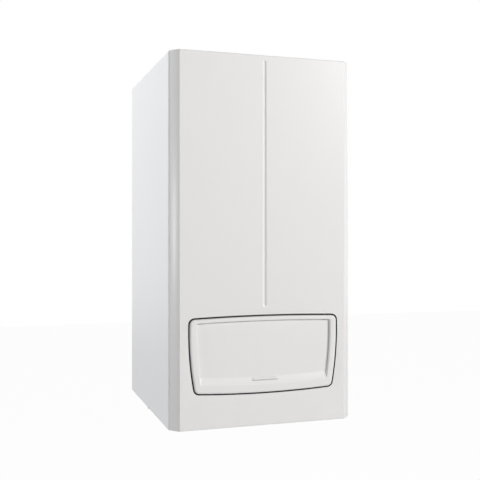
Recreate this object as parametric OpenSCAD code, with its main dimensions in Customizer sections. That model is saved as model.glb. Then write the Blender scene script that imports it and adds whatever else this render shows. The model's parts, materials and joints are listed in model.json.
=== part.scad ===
// Wall-hung condensing gas boiler: a steel casing with a lift-off front cover and a lift-up flap over
// the controls, with the combustion unit, the pump and the pipes inside.
// +Z is up and the front faces -Y. The wall is the plane y = 0, and the origin lies on it, midway
// between the two hanging slots. Heights below count from the casing's bottom edge, and hang() lowers
// every piece so that the slots come to z = 0. Cuts run 1 mm past what they cut.

/* [Casing] */
// Width across the side panels
casing_w = 440; // [436:1:500]
// Height of the front cover
casing_h = 846; // [840:1:960]
// Depth from the wall to the flat of the front cover
casing_d = 490; // [486:1:560]
// Thickness of the casing's steel sheet
sheet = 1.2; // [1:0.1:1.5]
// How far the side and top panels stay below the cover's top edge
panel_drop = 1.8; // [1.2:0.1:4]
// Width of the folded flanges at the front of the panels
flange_w = 18; // [16:1:22]
// Width of the flanges that take the panel screws
screw_flange = 15; // [13:1:17]
// Thickness of the rear frame's galvanised sheet
frame_t = 1.5; // [1.2:0.1:2]
// Width of the rear frame's posts
post_w = 30; // [20:1:34]
// Depth of the rear frame's posts
post_d = 18; // [10:1:22]

/* [Wall fixing] */
// Distance from the hanging slots down from the cover's top edge
hook_drop = 60; // [45:1:90]
// Distance between the two hanging slots
hook_span = 300; // [240:1:320]
// Width of a hanging slot
slot_w = 10; // [8:0.5:12]
// Length of a hanging slot
slot_l = 34; // [24:1:40]
// Height of the two lower fixing holes
low_fix_z = 70; // [50:1:110]
// Diameter of a lower fixing hole
low_fix_bore = 9; // [7:0.5:11]

/* [Front cover] */
// Depth of the cover, from its flat to its back edge
cover_ret = 25; // [24:0.5:30]
// Width of the chamfered edge, seen from the front
chamfer_w = 20; // [14:0.5:24]
// Depth of the chamfered edge
chamfer_d = 21; // [14:0.5:22]
// Width of the flange round the cover's back
cover_flange = 15; // [13:0.5:17]
// Shadow gap between the cover and the panels
cover_gap = 2; // [1.5:0.1:3]
// Width of the pressed groove at its foot
groove_w = 12; // [6:0.5:16]
// Width of the groove at its top
groove_top_w = 6; // [3:0.5:10]
// Depth of the groove
groove_depth = 2.4; // [1:0.1:4]
// Distance from the cover's top edge down to the groove
groove_head = 12; // [8:1:40]
// Distance from the flap's top edge up to the groove
groove_foot = 20; // [16:1:60]
// Diameter of a locating stud
stud_d = 6; // [4:0.5:7]
// Distance between the two locating studs
stud_span = 320; // [200:1:360]
// Distance between the two cover screws
cover_screw_span = 260; // [160:1:340]

/* [Flap] */
// Width of the cover left on each side of the flap
flap_side = 42; // [40:1:50]
// Height of the flap in the middle
flap_h = 174; // [166:1:190]
// Height of the flap's bottom edge
flap_z = 76; // [70:1:90]
// Height above the bottom edge at which the flap is widest
flap_waist = 141; // [120:1:150]
// Radius of the two bowed sides
flap_side_r = 720; // [600:10:1200]
// Radius of the bowed top edge
flap_top_r = 4450; // [3500:50:6000]
// Radius of the bowed bottom edge
flap_bottom_r = 2500; // [2000:50:4000]
// Radius of the flap's corners
flap_corner = 12; // [8:0.5:16]
// Running gap round the flap
flap_gap = 1.4; // [1.4:0.1:2]
// Width of the dark trim line round the gap
trim_w = 1.8; // [1:0.1:3]
// How far the flap's rim stands in front of the cover
flap_proud = 5; // [3:0.5:6]
// Run of the bevel at the rim's outer edge
flap_bevel = 4; // [2:0.5:5]
// Wall of the flap's moulding
flap_wall = 2.4; // [2:0.1:2.6]
// Width of the rim at the sides and the top
rim_w = 14.5; // [13.5:0.5:18]
// Width of the rim at the bottom
rim_bottom = 21; // [16:0.5:26]
// Depth of the flap's dish, from the rim's face
dish_depth = 9.5; // [7:0.5:10]
// Run of the dish's sloping walls
dish_slope = 5; // [3:0.5:7]
// Radius of the dish's corners
dish_corner = 5; // [3:0.5:8]
// Width of the finger lip
lip_w = 60; // [40:1:90]
// Height of the finger lip
lip_h = 7; // [5:0.5:12]
// How far the finger lip stands off the dish's floor
lip_out = 5; // [3:0.5:6]
// Diameter of a hinge pin
pin_d = 3; // [2.5:0.1:3.4]
// Distance of a hinge from the flap's side
hinge_inset = 28; // [24:1:70]
// Width of a hinge ear
ear_w = 6; // [4:0.5:10]
// Free space left between moving pieces
clearance = 0.3; // [0.25:0.05:0.4]
// Radial clearance of a turning shaft in its bore
running = 0.06; // [0.04:0.01:0.09]

/* [Controls] */
// Depth of the fascia behind the cover's flat
dash_set = 22; // [22:0.5:26]
// Thickness of the fascia
fascia_t = 3; // [2.5:0.1:4]
// How far the fascia reaches past the flap's edge
fascia_margin = 8; // [6:1:12]
// Depth of the control box behind the fascia
box_d = 75; // [60:1:84]
// Wall of the control box
box_wall = 2.5; // [2:0.1:3]
// Height of the row of knobs above the flap's bottom edge
knob_row = 96; // [86:1:100]
// Diameter of a knob
knob_d = 40; // [30:1:44]
// Height of a knob
knob_h = 11; // [8:0.5:11]
// Diameter of a knob's shaft
knob_shaft = 6; // [4:0.5:8]
// Distance of the inner knobs from the middle
knob_inner = 74; // [72:1:78]
// Distance of the outer knob and the gauge from the middle
knob_outer = 128; // [126:1:132]
// Width of the display's window
window_w = 84; // [60:1:90]
// Height of the display's window
window_h = 38; // [24:1:42]
// Diameter of a push button
button_d = 12; // [8:0.5:14]
// Travel of a push button
button_travel = 2; // [1:0.1:2.2]
// Distance between the two push buttons
button_span = 44; // [20:1:60]
// Diameter of the gauge's bezel
gauge_d = 48; // [40:1:52]

/* [Combustion] */
// Radius of the heat exchanger's shell
shell_r = 125; // [114:1:127]
// Length of the heat exchanger's shell
shell_l = 220; // [210:1:224]
// Distance from the wall to the shell's back
shell_back = 70; // [66:1:76]
// Wall of the shell
shell_wall = 3; // [2:0.5:4]
// Radius of the coil, to the middle of its tube
coil_r = 94; // [86:1:96]
// Number of turns of the coil
coil_turns = 12; // [8:1:14]
// Radius of the burner tube
burner_r = 35; // [28:1:38]
// Length of the burner tube
burner_l = 150; // [120:1:170]
// Thickness of the burner door
door_t = 12; // [8:1:14]
// Thickness of the door's insulation
insulation_t = 22; // [14:1:24]
// Radius of the fan's housing
fan_r = 80; // [72:1:84]
// Thickness of the fan's housing
fan_t = 60; // [52:1:64]
// Radius of the fan's motor
fan_motor_r = 42; // [34:1:44]
// Distance from the fan's axis down to its outlet
fan_drop = 90; // [86:1:96]
// Width of the fan's outlet
duct_w = 50; // [40:1:56]
// Distance from the top panel down to the fan
fan_top_gap = 28; // [10:1:32]
// Length of the air and gas mixer
mixer_l = 60; // [50:1:66]
// Radius of the flue pipe's bore
flue_r = 40; // [35:1:42]
// Radius of the air collar
collar_r = 62.5; // [58:0.5:66]
// Height of the air collar above the top panel
collar_h = 36; // [24:1:44]
// Distance from the wall to the flue's axis
flue_y = 85; // [80:1:92]

/* [Water and gas] */
// Distance from the wall to the row of pipes
pipe_y = 90; // [84:1:96]
// Outer radius of the water pipes
pipe_r = 14; // [11:0.5:15]
// Outer radius of the gas pipes
gas_r = 11; // [8:0.5:12]
// Wall of the pipes
pipe_wall = 1; // [0.8:0.1:1.5]
// Bend radius of the pipes, to their middle
bend = 24; // [20:0.5:25]
// Distance of the flow pipe from the casing's side
flow_inset = 45; // [40:1:48]
// Distance of the gas pipe from the middle
gas_x = 90; // [80:1:94]
// Distance of the condensate trap from the middle
trap_x = 40; // [30:1:50]
// Outer radius of the water connectors' thread
water_thread_r = 16.6; // [14:0.1:18]
// Outer radius of the gas connector's thread
gas_thread_r = 13.2; // [10:0.1:16]
// How far the connectors stand below the casing
thread_l = 36; // [24:1:44]
// Height of the pump's axis
pump_z = 215; // [205:1:240]
// Radius of the pump's motor
pump_r = 46; // [38:1:47]
// Length of the pump's motor
pump_l = 76; // [50:1:90]
// Outer radius of the condensate trap
trap_r = 34; // [26:1:38]
// Height of the condensate trap
trap_h = 140; // [100:1:180]

/* [Hidden] */
$fn = 64;

// Casing
front = -casing_d;
half_w = casing_w / 2;
flap_w = casing_w - 2 * flap_side;
hinge_span = flap_w - 2 * hinge_inset;
inner_w = half_w - sheet;
top = casing_h - panel_drop;
under_top = top - sheet;
panel_front = front + cover_ret + cover_gap;
hook_z = casing_h - hook_drop;
side_screw_x = inner_w - screw_flange / 2;
deck_screw_inset = 60;
deck_screws = [panel_front + deck_screw_inset, -casing_d / 2, -deck_screw_inset];
screw_r = 2;
screw_hole_r = 2.3;
screw_head_r = 4.5;
screw_head_h = 2.5;
screw_l = 10;
seal_inset = 3;
seal_w = 10;
seal_t = cover_gap - clearance;
tab_w = 24;
tab_reach = 14;
tab_z = sheet + clearance;
cover_screw_y = panel_front - tab_reach / 2 - screw_r;
stud_l = 16;
stud_tip = 2;
collar_flange_w = 14;
collar_flange_t = 3;
collar_wall = 1.5;
collar_rib_t = 2;

// Flap
flap_top = flap_z + flap_h;
opening_grow = flap_gap + trim_w;
groove_z0 = flap_top + groove_foot;
groove_z1 = casing_h - groove_head;
frame_back = front + dash_set - 1.5;
frame_flange = 12;
frame_flange_t = 2;
skirt_d = 6;
stop_y = front + skirt_d + clearance;
stop_t = 2;
stop_reach = 5;
stop_h = 60;
pin_y = front + 1;
pin_sag = pow(hinge_span / 2, 2) / (2 * flap_top_r);
pin_drop = 7.5;
pin_z = flap_top - pin_sag - pin_drop;
ear_r = pin_d / 2 + 1.7;
ear_rise = 9.5;
cheek_t = 2.5;
cheek_d = flap_proud + skirt_d - 2;
cheek_h = 9;
cheek_drop = 6;
cheek_gap = 0.5;
pin_l = ear_w + 2 * (cheek_gap + cheek_t);
sweep = 11.5;
lip_edge = 3;
lip_wall = 1.5;
lip_floor = 0.5;
skin = 0.01;

// Controls
dash_y = front + dash_set;
box_y = dash_y + fascia_t;
box_back = box_y + box_d;
fascia_w = flap_w + 2 * fascia_margin;
fascia_z = flap_z - fascia_margin;
fascia_h = flap_h + 2 * fascia_margin;
fascia_corner = 10;
box_edge = 4;
box_w = fascia_w - 2 * box_edge;
box_z = fascia_z + box_edge;
box_h = fascia_h - 2 * box_edge;
box_post_r = 5;
box_post_x = box_w / 2 - 16;
box_post_inset = 14;
row_z = flap_z + knob_row;
button_drop = 8;
button_z = row_z - window_h / 2 - button_d / 2 - button_drop;
button_proud = 3;
window_corner = 3;
lens_gap = 0.1;
lens_set = 0.5;
module_margin = 3;
board_set = 20;
board_y = box_y + board_set;
board_t = 1.6;
board_edge = 6;
encoder_w = 16;
encoder_d = 10;
switch_w = 8;
relay_w = 20;
relay_d = 16;
relay_h = 26;
relay_pitch = 26;
relay_start = 8;
parts_drop = 14;
transformer_w = 56;
transformer_d = 34;
transformer_h = 44;
transformer_x = 60;
terminal_w = 120;
terminal_d = 16;
terminal_h = 22;
terminal_pitch = 12;
terminal_hole = 8;
bracket_t = 2;
bracket_inset = 30;
bracket_reach = 50;
bracket_hem = 30;
knob_y = dash_y - clearance;
knob_r = knob_d / 2;
knob_rim = 2;
knob_skirt = 4;
knob_dome = 1.5;
knob_grip_w = 7;
knob_mark_w = 1.6;
shaft_end = 4;
gauge_r = gauge_d / 2;
gauge_wall = 2;
gauge_hem = 2;
gauge_bezel_h = 5;
gauge_back = 14;
gauge_stem_r = 6;
gauge_stem_l = 8;
dial_set = 5;
needle_t = 1;
needle_y = 4.7;
needle_hub_r = 2.6;
needle_pin_r = 1;
needle_pin_l = 5.8;
lens_t = 1.8;
gauge_x = -knob_outer;
gland_x = 20;
gland_y = -casing_d / 2;
gland_r = 8;
gland_bore = 4;
gland_l = 14;
gland_cap_l = 12;
gland_hex = 4;
gland_nut_t = 5;
gland_rim = 3;
gland_rim_t = 2;

// Combustion
fan_z = under_top - fan_top_gap - fan_r;
fan_seat = 3;
shell_z = fan_z - fan_motor_r - fan_seat - shell_r;
shell_front = -shell_back - shell_l;
shell_rim = 6;
door_front = shell_front - door_t;
door_r = shell_r + shell_rim;
door_bolt_r = 7;
door_bolt_h = 6;
door_bolt_inset = 9;
duct_wall = 4;
duct_flange_w = 7;
duct_flange_t = 8;
duct_roof = 2;
fan_x = duct_w / 2 - fan_r;
fan_front = door_front - fan_t;
fan_wall = 3;
shaft_r = 4;
outlet_z = fan_z - fan_drop;
mixer_port = 45;
mixer_x = fan_x + mixer_port;
mixer_y = fan_front - mixer_l / 2;
mixer_bore = 30;
mixer_wall = 4;
mixer_flange_w = 10;
mixer_flange_t = 6;
throat_r = 21;
throat_l = 8;
fan_flange_t = 6;
fan_motor_l = 50;
fan_cap_l = 5;
fan_hub_r = 10;
fan_hub_l = 26;
blade_t = 2;
blade_root = 2;
blade_tip_r = fan_r - 16;
disc_set = 6;
electrode_x = 52;
electrode_r = 6;
electrode_l = 20;
electrode_cap_r = 3.5;
electrode_cap_l = 8;
rod_reach = 30;
electrode_zs = [-30, 30];
rod_r = 1.5;
port_wall = 4;
port_r = pipe_r + port_wall;
flow_port_rise = 55;
flow_port_z = shell_z + flow_port_rise;
return_port_drop = 65;
return_port_z = shell_z - return_port_drop;
drain_r = 12;
drain_wall = 2;
drain_port_l = 8;
vent_port_r = 12;
hood_gap = 24;
hood_wall = 2.5;
hood_lift = 10;
hood_step = shell_z + shell_r + hood_lift;
hood_rise = 62;
hood_top = hood_step + hood_rise;
hood_w = 116;
hood_drop = 70;
hood_foot = shell_z - hood_drop;
hood_edge = 6;
hood_reach = flue_y + flue_r + hood_edge;
socket_wall = 4;
socket_l = 21;
gas_port_r = flue_r - 4;
flue_wall = 1.5;
flue_set = 3;
flue_top = top + collar_h - flue_set;
shell_foot_inset = 45;
shell_foot_x = shell_r - shell_foot_inset;
shell_foot_w = 26;
shell_foot_seat = 20;
shell_foot_h = 60;
shell_foot_t = 2;

// Water and gas
nut_h = 12;
pipe_z0 = sheet + nut_h;
connector_hex = 5;
lock_nut_t = 8;
flow_x = half_w - flow_inset;
pump_gap = 4;
pump_x = inner_w - pump_gap - pump_r;
pipe_reach = 4;
port_x = pump_x - bend - pipe_reach;
pump_half = 45;
pump_t = 50;
pump_case_r = pump_r - 8;
pump_wall = 6;
pump_nut_h = 12;
pump_cap_l = 6;
pump_cap_step = 4;
rotor_r = pump_r - 18;
rotor_hub_r = 9;
rotor_disc_t = 3;
rotor_vane_h = 12;
rotor_set = 16;
gas_rise = 50;
gas_run_z = box_z + box_h + gas_rise;
valve_y = mixer_y;
valve_lift = 12;
valve_z0 = gas_run_z + bend + valve_lift;
valve_h = 104;
valve_w = 64;
valve_d = 56;
valve_end = 10;
valve_collar = 9;
valve_collar_h = 12;
valve_bore_l = 29;
coil_cap_r = 16;
coil_cap_l = 24;
coil_cap_zs = [34, 70];
plug_w = 16;
plug_d = 24;
plug_h = 44;
plug_z = 30;
tap_r = 6;
tap_l = 8;
tap_z = 52;
relief_lift = 15;
relief_z = pump_z + relief_lift;
relief_r = 15;
relief_arm = 46;
relief_arm_r = 10;
relief_arm_bore = 6;
relief_body_h = 44;
relief_body_drop = 24;
relief_neck_h = 10;
relief_top = 28;
relief_nut_drop = 30;
relief_pipe_r = 8;
relief_end = 24;
relief_bead = 2;
relief_bead_h = 2;
relief_y = -pipe_y - pipe_r - relief_arm;
relief_knob_h = 14;
flute_r = 2.4;
spindle_r = 3;
spindle_l = 14;
cock_z = 92;
cock_l = 30;
cock_r = 11;
cock_bore = 5;
cock_stub = 6;
cock_spout_r = 7;
cock_spout_l = 26;
cock_y = pipe_y + pipe_r + cock_stub;
handle_r = 8;
handle_t = 5;
handle_l = 34;
trap_out_r = 16;
trap_wall = 3;
trap_lift = 24;
trap_cap = 3;
trap_cap_h = 14;
trap_neck = 4;
trap_neck_h = 16;
trap_nut = 8;
trap_nut_h = 5;
hose_z = trap_h + 36;
vent_inset = 37;
vent_x = shell_r - vent_inset;
vent_y = -200;
vent_hex_r = 15;
vent_hex_h = 8;
vent_float_r = 18;
vent_float_h = 42;
vent_cap_r = 5;
vent_spout_r = 4;
vent_spout_l = 10;
vent_spout_z = 30;

module hang() translate([0, 0, -hook_z]) children();

// A solid drawn in the x and z axes, from y0 back to y0 + t
module slab(y0, t) translate([0, y0 + t, 0]) rotate([90, 0, 0]) linear_extrude(t) children();

// What is drawn along +Z comes to lie along -Y, from y0 forward
module forward(y0) translate([0, y0, 0]) rotate([90, 0, 0]) children();

module tube(r, bore, h) difference() {
    cylinder(r = r, h = h);
    translate([0, 0, -1]) cylinder(r = bore, h = h + 2);
}

module both() {
    children();
    mirror([1, 0, 0]) children();
}

// A quarter bend that starts upward at the origin and ends toward +X
module elbow(r, wall) translate([bend, 0, 0]) rotate([90, 0, 0])
    rotate_extrude(angle = 90, start = 90) translate([bend, 0]) difference() {
        circle(r);
        circle(r - wall);
    }

module pipe(r, h) tube(r, r - pipe_wall, h);

// Outline of the flap in the x and z axes, drawn in by a width at the sides, the head and the foot
module shield(side, head, foot, corner) offset(r = corner) offset(delta = -corner) intersection() {
    translate([flap_side_r - flap_w / 2, flap_z + flap_waist]) circle(flap_side_r - side, $fn = 360);
    translate([flap_w / 2 - flap_side_r, flap_z + flap_waist]) circle(flap_side_r - side, $fn = 360);
    translate([0, flap_top - flap_top_r]) circle(flap_top_r - head, $fn = 720);
    translate([0, flap_z + flap_bottom_r]) circle(flap_bottom_r - foot, $fn = 720);
}

module outline(inset) shield(inset, inset, inset, flap_corner - inset);

// The flap's outline grown by a width, with corners tight enough for the flap to turn in
module opening(grow) shield(-grow, -grow, -grow, flap_corner - 0.5 + grow);

// Casing

module rear_frame() hang() color("silver") {
    difference() {
        translate([-inner_w, -frame_t, sheet]) cube([2 * inner_w, frame_t, under_top - sheet]);
        both() translate([hook_span / 2, 0, hook_z]) {
            translate([-(slot_l - slot_w) / 2, -frame_t - 1, -slot_w / 2])
                cube([slot_l - slot_w, frame_t + 2, slot_w]);
            for (end = [-1, 1]) translate([end * (slot_l - slot_w) / 2, 1, 0])
                forward(0) cylinder(d = slot_w, h = frame_t + 2);
        }
        both() translate([hook_span / 2, 1, low_fix_z])
            forward(0) cylinder(d = low_fix_bore, h = frame_t + 2);
    }
    both() translate([inner_w - screw_flange - 1 - post_w, -frame_t - post_d, 2 * sheet])
        difference() {
            cube([post_w, post_d, under_top - 3 * sheet]);
            translate([frame_t, frame_t, -1]) cube([post_w - 2 * frame_t, post_d, casing_h]);
        }
}

module side_panel() {
    difference() {
        union() {
            translate([inner_w, panel_front, 0]) cube([sheet, -panel_front, top]);
            translate([half_w - flange_w, panel_front, 0]) cube([flange_w, sheet, top]);
            for (z = [sheet, under_top - sheet])
                translate([inner_w - screw_flange, panel_front, z])
                    cube([screw_flange + sheet / 2, -panel_front - frame_t, sheet]);
            translate([inner_w - screw_flange, -frame_t - sheet, sheet])
                cube([screw_flange + sheet / 2, sheet, under_top - sheet]);
        }
        for (y = deck_screws) translate([side_screw_x, y, -1])
            cylinder(r = screw_hole_r, h = top + 2);
    }
}

module side_panel_right() hang() color("white") side_panel();

module side_panel_left() hang() color("white") mirror([1, 0, 0]) side_panel();

// The plate between the side panels, and its flange along the front
module deck(flange_z) {
    translate([-inner_w, panel_front + sheet, 0])
        cube([2 * inner_w, -panel_front - sheet, sheet]);
    translate([-half_w + flange_w, panel_front, 0]) {
        cube([casing_w - 2 * flange_w, 2 * sheet, sheet]);
        translate([0, 0, flange_z]) cube([casing_w - 2 * flange_w, sheet, flange_w]);
    }
}

module deck_holes() both() for (y = deck_screws) translate([side_screw_x, y, -1])
    cylinder(r = screw_hole_r, h = sheet + 2);

module top_panel() hang() color("white") translate([0, 0, under_top]) difference() {
    deck(sheet - flange_w);
    deck_holes();
    translate([0, -flue_y, -1]) cylinder(r = collar_r - 2, h = sheet + 2);
    both() translate([stud_span / 2, panel_front + sheet + 1, sheet - flange_w / 2])
        forward(0) cylinder(d = stud_d + 2 * clearance, h = sheet + 2);
}

module bottom_panel() hang() color("silver") difference() {
    union() {
        deck(0);
        both() translate([cover_screw_span / 2 - tab_w / 2, panel_front - tab_reach, tab_z])
            cube([tab_w, tab_reach + sheet, sheet]);
    }
    deck_holes();
    both() translate([cover_screw_span / 2, cover_screw_y, -1])
        cylinder(r = screw_r, h = screw_l);
    for (x = [-flow_x, pump_x]) translate([x, -pipe_y, -1])
        cylinder(r = water_thread_r + clearance, h = sheet + 2);
    translate([gas_x, -pipe_y, -1]) cylinder(r = gas_thread_r + clearance, h = sheet + 2);
    translate([-trap_x, -pipe_y, -1]) cylinder(r = trap_out_r + clearance, h = sheet + 2);
    translate([-flow_x, relief_y, -1]) cylinder(r = relief_pipe_r + clearance, h = sheet + 2);
    translate([gland_x, gland_y, -1]) cylinder(r = gland_r + clearance, h = sheet + 2);
}

// A pan-head screw, head up
module screw() {
    cylinder(r = screw_head_r, h = screw_head_h);
    translate([0, 0, -screw_l]) cylinder(r = screw_r, h = screw_l);
}

module panel_screws() hang() color("silver") both() for (y = deck_screws) {
    translate([side_screw_x, y, top]) screw();
    translate([side_screw_x, y, 0]) mirror([0, 0, 1]) screw();
}

module cover_screws() hang() color("silver") both()
    translate([cover_screw_span / 2, cover_screw_y, -clearance])
        mirror([0, 0, 1]) screw();

module flue_collar() hang() color("white") translate([0, -flue_y, top]) {
    difference() {
        union() {
            cylinder(r = collar_r, h = collar_h);
            cylinder(r = collar_r + collar_flange_w, h = collar_flange_t);
        }
        translate([0, 0, -1]) cylinder(r = collar_r - collar_wall, h = collar_h + 2);
    }
    for (a = [30, 150, 270]) rotate([0, 0, a]) translate([flue_r + flue_wall, -collar_rib_t / 2, 0])
        cube([collar_r - collar_wall / 2 - flue_r - flue_wall, collar_rib_t, collar_h / 2]);
}

// Front cover

module cover_plan() polygon([
    [-half_w, front + cover_ret],
    [-half_w, front + chamfer_d],
    [-half_w + chamfer_w, front],
    [half_w - chamfer_w, front],
    [half_w, front + chamfer_d],
    [half_w, front + cover_ret]
]);

// A wedge along the front, wide at its foot, that follows the groove at a distance behind it
module groove(behind) hull() for (end = [[groove_z0, groove_w], [groove_z1, groove_top_w]])
    translate([0, 0, end[0]]) linear_extrude(skin) polygon([
        [-end[1] / 2 - behind, front],
        [0, front + groove_depth + behind],
        [end[1] / 2 + behind, front]
    ]);

module front_cover() hang() color("white") difference() {
    union() {
        difference() {
            linear_extrude(casing_h) cover_plan();
            translate([0, 0, sheet]) linear_extrude(casing_h - 2 * sheet)
                offset(delta = -sheet) cover_plan();
            translate([-half_w + cover_flange, front + cover_ret - 2 * sheet, cover_flange])
                cube([casing_w - 2 * cover_flange, 3 * sheet, casing_h - 2 * cover_flange]);
        }
        groove(sheet);
    }
    groove(0);
    slab(front - 1, sheet + 2) opening(opening_grow);
    both() translate([cover_screw_span / 2, front + cover_ret, 0]) {
        translate([-tab_w / 2 - 1, -2 * sheet, sheet - 0.01])
            cube([tab_w + 2, 3 * sheet, tab_z + clearance + 1]);
        translate([-screw_r - 2 * clearance, -tab_reach - 1, -1])
            cube([2 * screw_r + 4 * clearance, tab_reach + 2, sheet + 2]);
    }
}

module cover_seal() hang() color("dimgray") difference() {
    translate([-half_w + seal_inset, front + cover_ret, seal_inset])
        cube([casing_w - 2 * seal_inset, seal_t, casing_h - 2 * seal_inset]);
    translate([-half_w + seal_inset + seal_w, front + cover_ret - 1, seal_inset + seal_w])
        cube([casing_w - 2 * (seal_inset + seal_w), seal_t + 2, casing_h - 2 * (seal_inset + seal_w)]);
    both() {
        translate([stud_span / 2, front + cover_ret + seal_t + 1, top - flange_w / 2])
            forward(0) cylinder(d = stud_d + 0.2, h = seal_t + 2);
        translate([cover_screw_span / 2 - tab_w / 2 - 1, front + cover_ret - 1, 0])
            cube([tab_w + 2, seal_t + 2, tab_z + sheet + 2 * clearance]);
    }
}

module cover_studs() hang() color("silver") both()
    translate([stud_span / 2, front + cover_ret, top - flange_w / 2]) {
        forward(stud_l) cylinder(d = stud_d, h = stud_l);
        forward(stud_l + stud_tip) cylinder(d1 = stud_d / 2, d2 = stud_d, h = stud_tip);
    }

// Flap

module flap_frame() hang() color("dimgray") difference() {
    union() {
        difference() {
            union() {
                slab(front, frame_back - front) opening(opening_grow - 0.1);
                slab(front + sheet, frame_flange_t) opening(frame_flange);
            }
            slab(front - 1, frame_back - front + 2) opening(flap_gap);
        }
        intersection() {
            slab(stop_y, stop_t) difference() {
                opening(flap_gap + trim_w / 2);
                outline(stop_reach);
            }
            translate([-flap_w, front, 0]) cube([2 * flap_w, dash_set, flap_z + stop_h]);
        }
        both() translate([hinge_span / 2, 0, 0]) hinge_ear();
    }
    both() translate([hinge_span / 2 - ear_w / 2 - 1, pin_y, pin_z])
        rotate([0, 90, 0]) cylinder(r = pin_d / 2 + running, h = ear_w + 2);
}

// A goose-neck arm from the pin back past the flap's turning edge, and up to the frame
module hinge_ear() translate([-ear_w / 2, pin_y, pin_z]) {
    rotate([0, 90, 0]) cylinder(r = ear_r, h = ear_w);
    translate([0, 0, -ear_r]) cube([ear_w, frame_back - pin_y, ear_r]);
    translate([0, sweep, -ear_r]) cube([ear_w, frame_back - pin_y - sweep, ear_r + ear_rise]);
}

module dish(grow) hull() {
    slab(front - flap_proud - skin + grow, skin)
        shield(rim_w - grow, rim_w - grow, rim_bottom - grow, dish_corner + grow);
    slab(front - flap_proud + dish_depth + grow - skin, skin)
        shield(rim_w + dish_slope - grow, rim_w + dish_slope - grow,
            rim_bottom + dish_slope - grow, dish_corner);
}

module control_flap() hang() color("whitesmoke") difference() {
    union() {
        difference() {
            union() {
                flap_rim();
                dish(flap_wall);
            }
            dish(0);
        }
        finger_lip();
        both() translate([hinge_span / 2, 0, 0]) for (side = [0, 1]) mirror([side, 0, 0])
            translate([ear_w / 2 + cheek_gap, front - flap_proud + 1, pin_z - cheek_drop])
                cube([cheek_t, cheek_d, cheek_h]);
    }
    both() translate([hinge_span / 2, pin_y, pin_z]) {
        translate([-pin_l / 2 - 1, 0, 0]) rotate([0, 90, 0]) cylinder(d = pin_d, h = pin_l + 2);
        translate([-ear_w / 2 - cheek_gap, -4 * clearance, 1])
            cube([ear_w + 2 * cheek_gap, 2 * skirt_d, 2 * skirt_d]);
    }
}

// The flap's outer wall and the back of its rim, open behind
module flap_rim() difference() {
    hull() {
        slab(front, skirt_d) outline(0);
        slab(front - flap_proud, skin) outline(flap_bevel);
    }
    slab(front - flap_proud + flap_wall, flap_proud + skirt_d) outline(flap_bevel);
    slab(front, skirt_d + 1) outline(flap_wall);
}

module finger_lip() {
    floor_y = front - flap_proud + dish_depth;
    lip_z = flap_z + rim_bottom + dish_slope + 2;
    difference() {
        hull() {
            translate([-lip_w / 2, floor_y, lip_z]) cube([lip_w, lip_floor, lip_h + lip_edge]);
            translate([-lip_w / 2 + lip_edge, floor_y - lip_out, lip_z])
                cube([lip_w - 2 * lip_edge, lip_floor, lip_h - lip_edge]);
        }
        translate([-lip_w / 2 + lip_edge, floor_y - lip_out + lip_wall, lip_z - 1])
            cube([lip_w - 2 * lip_edge, lip_out - lip_wall, lip_h - lip_edge]);
    }
}

module flap_pins() hang() color("silver") both()
    translate([(hinge_span - pin_l) / 2, pin_y, pin_z]) rotate([0, 90, 0]) cylinder(d = pin_d, h = pin_l);

// Controls

module rounded(w, h, r) hull() for (x = [r - w / 2, w / 2 - r], z = [r, h - r])
    translate([x, z]) circle(r, $fn = 32);

module control_box() hang() color("dimgray") difference() {
    union() {
        difference() {
            translate([-box_w / 2, box_y, box_z]) cube([box_w, box_d, box_h]);
            translate([-box_w / 2 + box_wall, box_y - 1, box_z + box_wall])
                cube([box_w - 2 * box_wall, box_d - box_wall + 1, box_h - 2 * box_wall]);
        }
        both() for (z = [box_z + box_post_inset, box_z + box_h - box_post_inset])
            translate([box_post_x, 0, z])
                forward(box_back - 1) cylinder(r = box_post_r, h = box_back - 1 - board_y - board_t);
    }
    translate([gland_x, box_y + box_d / 2, box_z - 1]) cylinder(r = gland_bore + 1, h = box_wall + 2);
}

module fascia() hang() color("gainsboro") difference() {
    slab(dash_y, fascia_t) translate([0, fascia_z]) rounded(fascia_w, fascia_h, fascia_corner);
    slab(dash_y - 1, fascia_t + 2) translate([0, row_z - window_h / 2])
        rounded(window_w, window_h, window_corner);
    for (x = [-knob_inner, knob_inner, knob_outer]) translate([x, 0, row_z])
        forward(box_y + 1) cylinder(d = knob_shaft + 2 * running, h = fascia_t + 2);
    translate([gauge_x, 0, row_z]) forward(box_y + 1)
        cylinder(r = gauge_r - gauge_wall + lens_gap, h = fascia_t + 2);
    both() translate([button_span / 2, 0, button_z])
        forward(box_y + 1) cylinder(d = button_d + 2 * clearance, h = fascia_t + 2);
}

module display_module() hang() color("darkolivegreen")
    translate([-window_w / 2 - module_margin, box_y, row_z - window_h / 2 - module_margin])
        cube([window_w + 2 * module_margin, board_y - box_y, window_h + 2 * module_margin]);

module display_lens() hang() color("lightgray")
    slab(dash_y + lens_set, fascia_t - lens_set) translate([0, row_z - window_h / 2 + lens_gap])
        rounded(window_w - 2 * lens_gap, window_h - 2 * lens_gap, window_corner - lens_gap);

module gauge_case() hang() color("black") translate([gauge_x, 0, row_z]) {
    difference() {
        union() {
            forward(dash_y) cylinder(r = gauge_r, h = gauge_bezel_h);
            forward(dash_y + gauge_back) cylinder(r = gauge_r - gauge_wall, h = gauge_back + 1);
        }
        forward(dash_y + gauge_back - gauge_wall)
            cylinder(r = gauge_r - gauge_wall - gauge_hem, h = gauge_back + gauge_bezel_h);
    }
    forward(dash_y + gauge_back + gauge_stem_l) cylinder(r = gauge_stem_r, h = gauge_stem_l);
}

module gauge_dial() hang() color("white") translate([gauge_x, dash_y, row_z])
    forward(gauge_back - gauge_wall)
        tube(gauge_r - gauge_wall - gauge_hem, needle_pin_r + running, gauge_back - gauge_wall - dial_set);

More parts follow.
